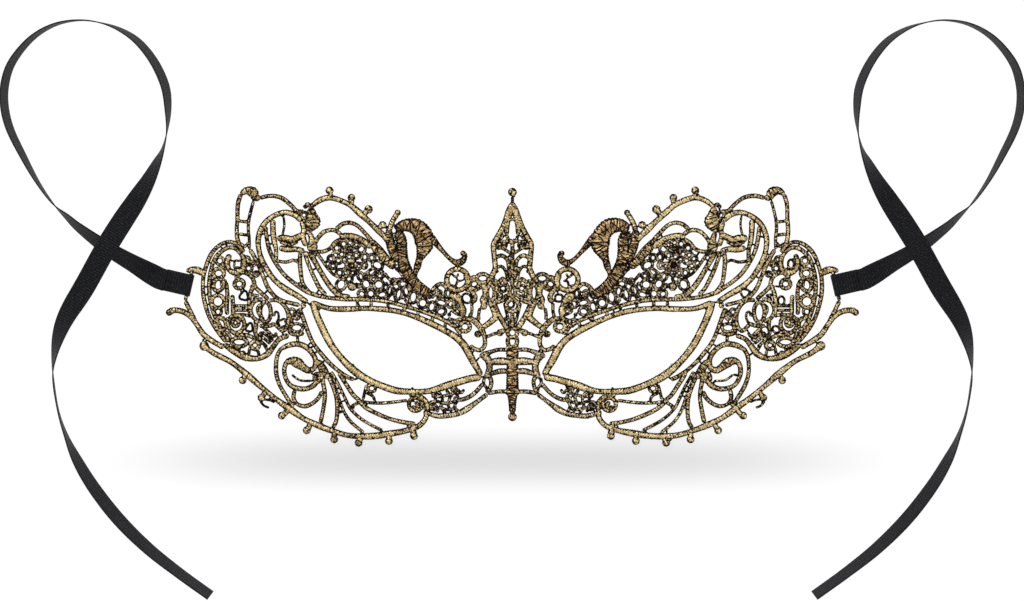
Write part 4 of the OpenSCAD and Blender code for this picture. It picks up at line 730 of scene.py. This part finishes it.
grapeRosette = (netH, [
    (netW, [(51.4, 17.6), (51.2, 19.8)]),
    (netW, [(53, 16.8), (54.2, 18)]),
    (netW, [(50, 16.6), (48.4, 17.2)]),
    (netW, [(53, 15.4), (55, 15)]),
    (netW, [(50.4, 15.2), (49.2, 13.4)]),
    (netW, [(51.8, 14.6), (52, 13)]),
    (netW, [(53.6, 22), (50.4, 21.6)]),
    (netW, [(54.8, 21), (50.8, 20.6)])
], [(netW, (54, 23.2, 1.1, 1.1, 0)), (netW, (51.9, 23.6, 1, 0.9, 0)), (netW, (49.8, 22.9, 1, 0.9, 0)),
    (netW, (56.2, 21.9, 1.1, 1.1, 0)), (netW, (56.6, 19.6, 1, 1, 0)), (netW, (54.6, 19.9, 1, 1, 0)),
    (netW, (58, 18.5, 1, 1, 0)), (netW, (55.7, 17.9, 1, 1, 0)), (netW, (52, 19.1, 1.2, 0.9, 0)),
    (netW, (50, 19.5, 1, 1, 0)), (netW, (48.4, 21.6, 1.3, 1.3, 0)), (netW, (47.2, 19, 1, 1.2, 0)),
    (netW, (57.4, 16.2, 1, 0.9, 0)), (netW, (55.3, 14, 1.1, 1.1, 0)), (netW, (53.4, 13.9, 0.9, 0.9, 0)),
    (netW, (51.2, 14, 0.9, 0.9, 0)), (netW, (52.3, 12, 1.1, 1, -30)),
    (netW, (48.5, 12.8, 0.9, 1.3, -20)), (fineW, (51.6, 16.4, 1.5, 1.5, 0)),
    (netW, (54.8, 10.2, 1.5, 1.8, 25)), (netW, (49.2, 16.2, 0.9, 0.9, 0)),
    (netW, (47.4, 16.4, 0.8, 1, 0))], [(3, (51.3, 9.6)), (1.8, (51.6, 16.4)), (1.6, (49.4, 14.4)),
    (2, (49.2, 9.8))])

browCord = (cordH, [
    (fineW, [(66.6, 8.2), (61.5, 6.5), (55, 5.6), (49, 5.5), (42.5, 5.1), (37.5, 4.2), (33, 2.9),
        (26.5, 0.8), (21, -1.6), (18.6, -3.4)]),
    (netW, [(49.6, 5.4), (49.6, 3)]),
    (netW, [(45.2, 5.2), (45.2, 3)]),
    (netW, [(39.8, 4.6), (39.8, 2.4)]),
    (netW, [(34.6, 3.4), (34.6, 1.6)]),
    (netW, [(30.2, 2.2), (30.2, 0)]),
    (netW, [(25.6, 0.5), (25.6, -2)]),
    (netW, [(21.4, -1.4), (21.6, -4.4)])
], [], [(2, (53.6, 6.2))])

browNet = (netH, [
    (netW, [(41, 14), (38.8, 11.6), (35.6, 12), (33.4, 11)]),
    (netW, [(37.6, 15.6), (36, 14.2), (34.8, 12.4)]),
    (netW, [(41.2, 8.8), (40, 7), (39.6, 5.4)]),
    (netW, [(38, 9.6), (37.8, 7), (37.2, 4.8)]),
    (netW, [(31.6, 10), (30.4, 8), (28.4, 7.4)]),
    (netW, [(26.4, 7), (24, 6.8), (21.6, 6.4)]),
    (netW, [(30.2, 5.8), (28.4, 6.6), (26, 5.8)]),
    (netW, [(24.4, 5.6), (22.2, 6.4), (20.4, 5.8)]),
    (netW, [(34.6, 5.8), (33.4, 4), (32.2, 3)])
], [(netW, (46.8, 10.4, 1.4, 1.6, -30)), (netW, (42.8, 10.2, 1.6, 1.5, 0)),
    (netW, (48.2, 7.2, 1.2, 1.1, 30)), (netW, (45.3, 7.3, 1.3, 1.3, 0)),
    (netW, (41.6, 7, 1.6, 1.1, -15)), (netW, (43.2, 16.4, 1.7, 1.4, 30)), (netW, (45, 18.8, 1, 1.1, 0)),
    (netW, (45.2, 14, 0.9, 1.9, 50)), (netW, (46.6, 13, 0.8, 0.9, 0)), (netW, (42.4, 13, 1, 0.9, 0)),
    (netW, (44.4, 11.9, 0.9, 0.8, 0)), (netW, (39.3, 8.2, 0.8, 1.8, 15)),
    (netW, (36.4, 7.2, 1, 1.8, 15)), (netW, (35, 10.4, 1.3, 1.1, 0)), (netW, (38, 11.2, 0.9, 0.8, 0)),
    (netW, (34, 8.1, 1, 1.6, -10)), (netW, (31.7, 6.2, 1.3, 1.9, 10)),
    (netW, (28.7, 4.3, 1.5, 1.5, -15)), (netW, (25.8, 3.1, 1.2, 1.6, 15)),
    (netW, (22.7, 4.4, 1.7, 1.1, 15)), (netW, (22.8, 1.6, 1.5, 1.2, -15)),
    (netW, (19.6, 4, 1.2, 1.2, 0)), (netW, (20.6, 7.4, 0.9, 1.3, 0)), (netW, (32, 9.2, 0.8, 0.7, 0)),
    (netW, (23.6, 7.6, 0.8, 0.7, 0))], [(1.6, (40.4, 10.4)), (1.6, (33, 11.6)), (1.6, (25.6, 6.4)),
    (1.6, (43.6, 8.6)), (1.4, (20.2, 0.6))])

noseRing = (cordH, [
    (mainW, [(33.2, -25), (31, -25.2, 1.2), (28.8, -26.2), (27.3, -28.2), (27.6, -30.4)]),
    (fineW, [(31.2, -27.2), (30.2, -28.4), (31, -29.4), (32.2, -28.6)])
], [(fineW, (31, -28.1, 2.1, 2.1, 0))], [(1.6, (28.4, -29))])

noseNet = (netH, [
    (fineW, [(9.4, -21.4), (11.6, -24), (14, -25.8), (16.6, -26.6), (19, -26)]),
    (mainW, [(8, -24.8, 1.2), (10.4, -26.6, 1.2), (12.6, -28.2), (14.6, -29.6, 1.8), (17.4, -31),
        (20.4, -31.6, 1.4), (24, -31.8), (27.4, -30.8, 1.2)]),
    (netW, [(19.4, -23.6), (17.8, -25), (17.4, -26.6), (18.4, -28.4), (17.8, -30.4)]),
    (netW, [(25.8, -24.4), (24.6, -26.4), (25, -28.6), (23.6, -30.6)]),
    (netW, [(23.4, -24.2), (22.4, -26.4), (22.8, -28.6), (21.4, -31)]),
    (netW, [(21.2, -23.4), (20, -25.6), (20.6, -28.2), (19.4, -30.6)]),
    (netW, [(26.6, -27.4), (24, -27.2), (21.4, -27.8), (18.4, -27.2)]),
    (netW, [(26, -25.4), (23, -25.6), (20.2, -25), (17.8, -24.2)]),
    (netW, [(26, -29.8), (23.4, -29.2), (20.8, -29.8), (18, -29.4)]),
    (netW, [(17.6, -23.2), (16.4, -24.4), (15.4, -23.2)])
], [(netW, (25.2, -29, 1, 0.8, 30)), (netW, (24.6, -25.2, 0.7, 0.6, 0)),
    (netW, (18.6, -23.4, 0.8, 0.6, 20))], [(1.4, (21.4, -27.8)), (1.4, (19.6, -25.2)),
    (1.4, (18.6, -29.2))])


# Loose wrapping stands a little proud of the core that the part is drawn to
def fuller(width):
    return width * stitch["fuller"] + stitch["fuzz"]


def strandsOf(motif, side, luck, tone, hatch, symmetric):
    height, cords, rings, knots = motif
    strands = []
    for width, spots in cords:
        if symmetric and side < 0 and all(spot[0] == 0 for spot in spots):
            continue
        path = smoothPath([(spot[0], spot[1], fuller(spot[2] if len(spot) > 2 else width)) for spot in spots],
                          stitch["sample"])
        drop = luck.uniform(0, 0.12)
        sway = luck.uniform(0, 6)
        here = luck.gauss(tone, 0.15)
        points = []
        for i, (x, y, w) in enumerate(path):
            tall = threadHeight(w)
            swell = 1 + stitch["wobble"] * math.sin(sway + i * 0.09) + luck.gauss(0, 0.012)
            points.append((side * x, y, w * swell, tall / 2 + drop + 0.05 * math.sin(sway + i * 0.05)))
        strands.append({"points": points, "closed": False, "tone": here})
        if any(point[2] > (1.9 if hatch else stitch["wide"]) for point in path):
            strands += hatched(points, luck, tone, hatch)
    for width, (x, y, a, b, turn) in rings:
        if symmetric and side < 0 and x == 0:
            continue
        turn = math.radians(turn)
        if min(a, b) <= width / 2:
            strands.append(blob(side, x, y, a + width / 2, b + width / 2, turn, height, luck, tone))
            continue
        count = max(12, round(math.pi * (a + b) / stitch["sample"]))
        lift = threadHeight(width) / 2 + luck.uniform(0, 0.15)
        points = []
        for i in range(count):
            angle = 2 * math.pi * i / count
            u, v = a * math.cos(angle), b * math.sin(angle)
            points.append((side * (x + u * math.cos(turn) - v * math.sin(turn)),
                           y + u * math.sin(turn) + v * math.cos(turn), fuller(width), lift))
        strands.append({"points": points, "closed": True, "tone": luck.gauss(tone, 0.15)})
    for size, (x, y) in knots:
        if symmetric and side < 0 and x == 0:
            continue
        strands.append(blob(side, x, y, size / 2, size / 2, luck.uniform(0, 3), height, luck, tone + 0.12))
    return strands


def blob(side, x, y, a, b, turn, height, luck, tone):
    count = max(9, round(2 * a / stitch["sample"]))
    points = []
    for i in range(count):
        u = a * (2 * i / (count - 1) - 1)
        width = 2 * b * math.sqrt(max(0.0004, 1 - (u / a) ** 2))
        points.append((side * (x + u * math.cos(turn)), y + u * math.sin(turn), width, height / 2 + 0.06))
    return {"points": points, "closed": False, "tone": tone, "round": False, "bias": -0.12,
            "flat": min(1, (height + 0.1) / (2 * b))}


def hatched(points, luck, tone, dense):
    # short cross stitches over a broad stroke
    strands = []
    nextRow = 0.3
    run = 0
    for i in range(1, len(points) - 1):
        x, y, width, lift = points[i]
        run += math.dist(points[i][:2], points[i - 1][:2])
        if run < nextRow or width < (1.9 if dense else stitch["wide"] * 0.85):
            continue
        nextRow = run + stitch["hatch"] * luck.uniform(0.6, 1.7)
        way = math.atan2(points[i + 1][1] - points[i - 1][1], points[i + 1][0] - points[i - 1][0])
        way += math.pi / 2 + luck.gauss(0, 0.4)
        half = width / 2 * luck.uniform(0.6, 1.02)
        tall = threadHeight(width)
        count = max(5, round(width / stitch["sample"]))
        row = []
        for k in range(count):
            t = 2 * k / (count - 1) - 1
            row.append((x + math.cos(way) * half * t, y + math.sin(way) * half * t, luck.uniform(0.34, 0.6),
                        lift + tall / 2 * math.sqrt(max(0, 1 - (t * 0.97) ** 2)) - 0.04))
        strands.append({"points": row, "closed": False, "tone": luck.gauss(tone, 0.4), "flat": 0.8,
                        "hatch": True, "bias": luck.gauss(0.08, 0.2)})
    return strands


laceOrder = [
    ("spire", spire, "gold_lace", 0.5), ("spire_finial", finial, "gold_lace", 0.5),
    ("nose_blade", noseBlade, "dark_lace", 0.45), ("cross_bars", crossBars, "net_lace", 0.4),
    ("eye_rim", eyeRim, "gold_lace", 0.65), ("lower_edge", lowerEdge, "gold_lace", 0.6),
    ("side_loop", sideLoop, "gold_lace", 0.5), ("side_tail", sideTail, "gold_lace", 0.6),
    ("crescent", crescent, "gold_lace", 0.6), ("crest_arch", crestArch, "gold_lace", 0.6),
    ("crest_loop", crestLoop, "gold_lace", 0.5), ("side_rosette", sideRosette, "gold_lace", 0.45),
    ("swan_scroll", swanScroll, "dark_lace", 0.35), ("bridge_ring", bridgeRing, "gold_lace", 0.5),
    ("bridge_scroll", bridgeScroll, "gold_lace", 0.5), ("crest_leaf", crestLeaf, "gold_lace", 0.6),
    ("crest_stems", crestStems, "gold_lace", 0.55), ("lower_scroll", lowerScroll, "gold_lace", 0.55),
    ("petal_fan", petalFan, "gold_lace", 0.55), ("grape_rosette", grapeRosette, "net_lace", 0.45),
    ("brow_cord", browCord, "gold_lace", 0.55), ("brow_net", browNet, "net_lace", 0.4),
    ("nose_ring", noseRing, "gold_lace", 0.5), ("nose_net", noseNet, "net_lace", 0.45),
]
nettedAreas = [
    ("side_rosette", (89, 6, 8, 17, 8)), ("side_rosette", (81, -8, 7, 5, 20)),
    ("side_rosette", (76, 3, 5, 6, 0)),
    ("brow_net", (48, 12, 9, 7, -30)), ("brow_net", (34, 7, 9, 4, 10)), ("swan_scroll", (40.5, 15, 3, 7, 20)),
    ("bridge_scroll", (15, 6, 5, 6, 0)), ("spire", (3, 8, 3.5, 9, 0)), ("spire", (3, 20, 2.5, 6, 0)),
    ("nose_net", (19, -27.5, 7, 3, -5)), ("grape_rosette", (56, 14, 5, 5, 0)),
]
centreNodes = ("spire", "spire_finial", "nose_blade", "cross_bars")


# Short dark bars between strands that run close together, as where the lace closes up
def bridges(named, luck):
    low, high = stitch["bridge"]
    cells = {}
    spots = []
    for owner, (name, strand) in enumerate(named):
        for point in strand["points"][::3]:
            if strand.get("hatch"):
                continue
            spots.append((owner, name, point))
            cells.setdefault((int(point[0] // high), int(point[1] // high)), []).append(spots[-1])
    luck.shuffle(spots)
    taken = {}
    found = {}
    for owner, name, point in spots:
        i, j = int(point[0] // high), int(point[1] // high)
        around = [(i + u, j + v) for u in (-1, 0, 1) for v in (-1, 0, 1)]
        apart = stitch["apart"] if point[2] < 1.3 else stitch["rung"]
        if any(math.dist(point[:2], other) < apart for cell in around for other in taken.get(cell, ())):
            continue
        choices = []
        for cell in around:
            for rival, label, other in cells.get(cell, ()):
                gap = math.dist(point[:2], other[:2]) - point[2] / 2 - other[2] / 2
                if rival != owner and low - 0.75 < gap < high - 0.75:
                    choices.append((gap, other))
        if not choices:
            continue
        other = min(choices)[1]
        lift = min(point[3], other[3]) - 0.1
        run = math.dist(point[:2], other[:2])
        bow = luck.uniform(-0.2, 0.2)
        row = []
        for k in range(max(4, round(run / stitch["sample"])) + 1):
            t = k / max(4, round(run / stitch["sample"]))
            side = bow * math.sin(math.pi * t) / run
            row.append((point[0] + (other[0] - point[0]) * t - (other[1] - point[1]) * side,
                        point[1] + (other[1] - point[1]) * t + (other[0] - point[0]) * side,
                        stitch["bar"] * luck.uniform(0.85, 1.2), max(0.3, lift)))
        found.setdefault(name, []).append({"points": row, "closed": False, "tone": 0.05, "bias": -0.15})
        taken.setdefault((i, j), []).append(point[:2])
    return found


# Small uneven rings wherever a netted area is still open
def netted(named, side, luck):
    for name, (x, y, a, b, turn) in nettedAreas:
        label = name if name in centreNodes else (("right_" if side > 0 else "left_") + name)
        close = [point for owner, strand in named for point in strand["points"][::2]
                 if math.dist((side * x, y), point[:2]) < max(a, b) + 3]
        for k in range(round(a * b * 5)):
            away, angle = math.sqrt(luck.random()), luck.uniform(0, 2 * math.pi)
            u, v = a * away * math.cos(angle), b * away * math.sin(angle)
            spin = math.radians(turn)
            cx = side * (x + u * math.cos(spin) - v * math.sin(spin))
            cy = y + u * math.sin(spin) + v * math.cos(spin)
            near = min(math.dist((cx, cy), point[:2]) - point[2] / 2 for point in close)
            if not 1.0 < near < 2.2:
                continue
            size = near + luck.uniform(0.05, 0.35)
            squeeze, tip = luck.uniform(0.6, 1), luck.uniform(0, 3.1)
            kink, lobes = luck.uniform(0.05, 0.16), luck.choice((2, 3, 4))
            count = max(12, round(6.3 * size / stitch["sample"]))
            row = []
            for i in range(count):
                t = 2 * math.pi * i / count
                reach = size * (1 + kink * math.sin(lobes * t + tip))
                p, q = reach * math.cos(t), reach * squeeze * math.sin(t)
                row.append((cx + p * math.cos(tip) - q * math.sin(tip),
                            cy + p * math.sin(tip) + q * math.cos(tip), 0.85, 0.55))
            strand = {"points": row, "closed": True, "tone": luck.gauss(0.3, 0.15), "bias": -0.04}
            named.append((label, strand))
            close += row


def barStrand(side, tone):
    count = round(2 * barHalf / stitch["sample"])
    return {"points": [(side * (barMid[0] + alongBar[0] * t), barMid[1] + alongBar[1] * t,
                        ribbonLooks["bar"], barZ) for t in np.linspace(-barHalf, barHalf, count)],
            "closed": False, "tone": tone, "flat": 1}


def stitchLace():
    kinds = {entry[0]: entry for entry in laceOrder}
    pieces = {}
    for side, word in ((1, "right_"), (-1, "left_")):
        named = []
        for name, motif, slot, tone in laceOrder:
            centre = name in centreNodes
            luck = random.Random(word + name)
            strands = strandsOf(motif, side, luck, tone, slot == "dark_lace", centre)
            if name == "side_loop":
                strands.append(barStrand(side, tone))
            label = name if centre else word + name
            named += [(label, strand) for strand in strands]
        netted(named, side, random.Random(word + "net"))
        for label, strand in named:
            pieces.setdefault(label, []).append(strand)
        for label, strands in bridges(named, random.Random(word + "bridges")).items():
            pieces[label] += strands
    for label, strands in pieces.items():
        slot = kinds[label.split("_", 1)[1] if label not in centreNodes else label][2]
        piece = threads(label + "_thread", strands, random.Random(label), foils[slot])
        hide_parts(label)
        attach(piece, "lace")


stitchLace()
print("lace")


def drawRibbon(side, word):
    frames = ribbonFrames(side)
    split = next(i for i, item in enumerate(frames) if item[0] >= ribbonLooks["lead"])
    end = frames[split][1]
    lead = strip(word + "_ribbon_lead", frames[:split + 1])
    tail = strip(word + "_ribbon_run", frames[split:])
    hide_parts(word + "_ribbon")
    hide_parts(word + "_ribbon")
    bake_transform(lead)
    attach(tail, "lace")
    print(word, "ribbon", round(frames[-1][0], 1), "mm, lead to", [round(value, 1) for value in end])


# The sewn fold: out of the mouth, round the bar and back to a cut end
foldLooks = {"layer": 0.2, "cut": 7.1, "bulge": 0.91}


def drawSleeve(side, word):
    layer, bulge, cut = foldLooks["layer"], foldLooks["bulge"], foldLooks["cut"]
    arc = [(bulge * math.cos(a), bulge * math.sin(a))
           for a in np.linspace(math.radians(60), math.radians(300), 25)]
    upper = [(cut, layer + 0.03), (6, layer + 0.03), (4.4, layer + 0.03), (3, layer + 0.1), (1.7, 0.52)]
    lower = [(1.7, -0.52), (3, -layer - 0.05), (4.4, -layer), (6, -layer), (ribbonLooks["fold"], -layer)]
    section = smoothPath(upper + arc + lower, 0.35)
    frames = []
    run = 0
    for i, (x, z) in enumerate(section):
        run += math.dist(section[i], section[i - 1]) if i else 0
        centre = (side * (barMid[0] + x * outward[0]), barMid[1] + x * outward[1], barZ + z)
        frames.append((run, centre, (side * alongBar[0], alongBar[1]), 0))
    fold = strip(word + "_fold", frames)
    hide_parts(word + "_sleeve")
    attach(fold, word + "_strap")
    strands = []
    luck = random.Random(word + " tack")
    for place in (-2.1, -0.2, 1.9):
        points = []
        for t in (-1, -0.5, 0, 0.5, 1):
            x = cut - 0.9 + 0.75 * t
            y = place + 0.5 * t
            points.append((side * (barMid[0] + x * outward[0] + y * alongBar[0]),
                           barMid[1] + x * outward[1] + y * alongBar[1], 0.32,
                           barZ + 2 * layer + 0.1 - 0.08 * t * t))
        strands.append({"points": points, "closed": False, "tone": luck.random(), "flat": 1})
    tack = threads(word + "_tack_stitches", strands, luck, foils["net_lace"])
    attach(tack, word + "_strap")


for side, word in ((-1, "left"), (1, "right")):
    drawRibbon(side, word)
    drawSleeve(side, word)
print("ribbons")


# White table with a broad faint shade under the mask, and a soft studio light
studio = {"world": 0.5, "table": 1.2, "shade": 0.33, "shadeAt": (-4, -46), "shadeSize": (112, 9)}


def makeTable():
    material, tree, shader = newMaterial("table")
    place = add(tree, "ShaderNodeTexCoord").outputs["Object"]
    x, y = add(tree, "ShaderNodeSeparateXYZ", {0: place}).outputs[:2]
    shade = studio["shade"]
    for value, middle, half, power in zip((x, y), studio["shadeAt"], studio["shadeSize"], (4, 2)):
        away = calc(tree, "DIVIDE", calc(tree, "SUBTRACT", value, middle * mm), half * mm)
        away = calc(tree, "POWER", calc(tree, "ABSOLUTE", away), power)
        shade = calc(tree, "MULTIPLY", shade, calc(tree, "EXPONENT", calc(tree, "MULTIPLY", away, -1)))
    light = calc(tree, "SUBTRACT", 1, shade)
    grey = add(tree, "ShaderNodeCombineXYZ", {0: light, 1: light, 2: light}).outputs[0]
    tree.links.new(grey, shader.inputs["Emission Color"])
    shader.inputs["Base Color"].default_value = (0.1, 0.1, 0.1, 1)
    shader.inputs["Roughness"].default_value = 0.9
    shader.inputs["Specular IOR Level"].default_value = 0.1
    shader.inputs["Emission Strength"].default_value = 0.97
    bm = bmesh.new()
    bmesh.ops.create_grid(bm, x_segments=4, y_segments=4, size=studio["table"])
    mesh = bpy.data.meshes.new("table")
    bm.to_mesh(mesh)
    bm.free()
    mesh.materials.append(material)
    table = bpy.data.objects.new("table", mesh)
    table.location = (0, 0, -0.1 * mm)
    bpy.context.scene.collection.objects.link(table)
    table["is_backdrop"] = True


def makeLight(name, place, size, power):
    lamp = bpy.data.lights.new(name, "AREA")
    lamp.energy = power
    lamp.size = size
    made = bpy.data.objects.new(name, lamp)
    made.location = place
    made.rotation_euler = (-Vector(place)).to_track_quat("-Z", "Y").to_euler()
    bpy.context.scene.collection.objects.link(made)


makeTable()
world = bpy.data.worlds.new("studio")
world.use_nodes = True
world.node_tree.nodes["Background"].inputs["Color"].default_value = (1, 1, 1, 1)
world.node_tree.nodes["Background"].inputs["Strength"].default_value = studio["world"]
bpy.context.scene.world = world
makeLight("key", (-0.5, 0.6, 0.9), 0.5, 6)
makeLight("fill", (0.7, -0.3, 0.8), 0.7, 3)
bpy.context.scene.view_settings.view_transform = "Standard"
print("studio")

{"cad": plain(wholeBox), "visual": plain(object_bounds())}
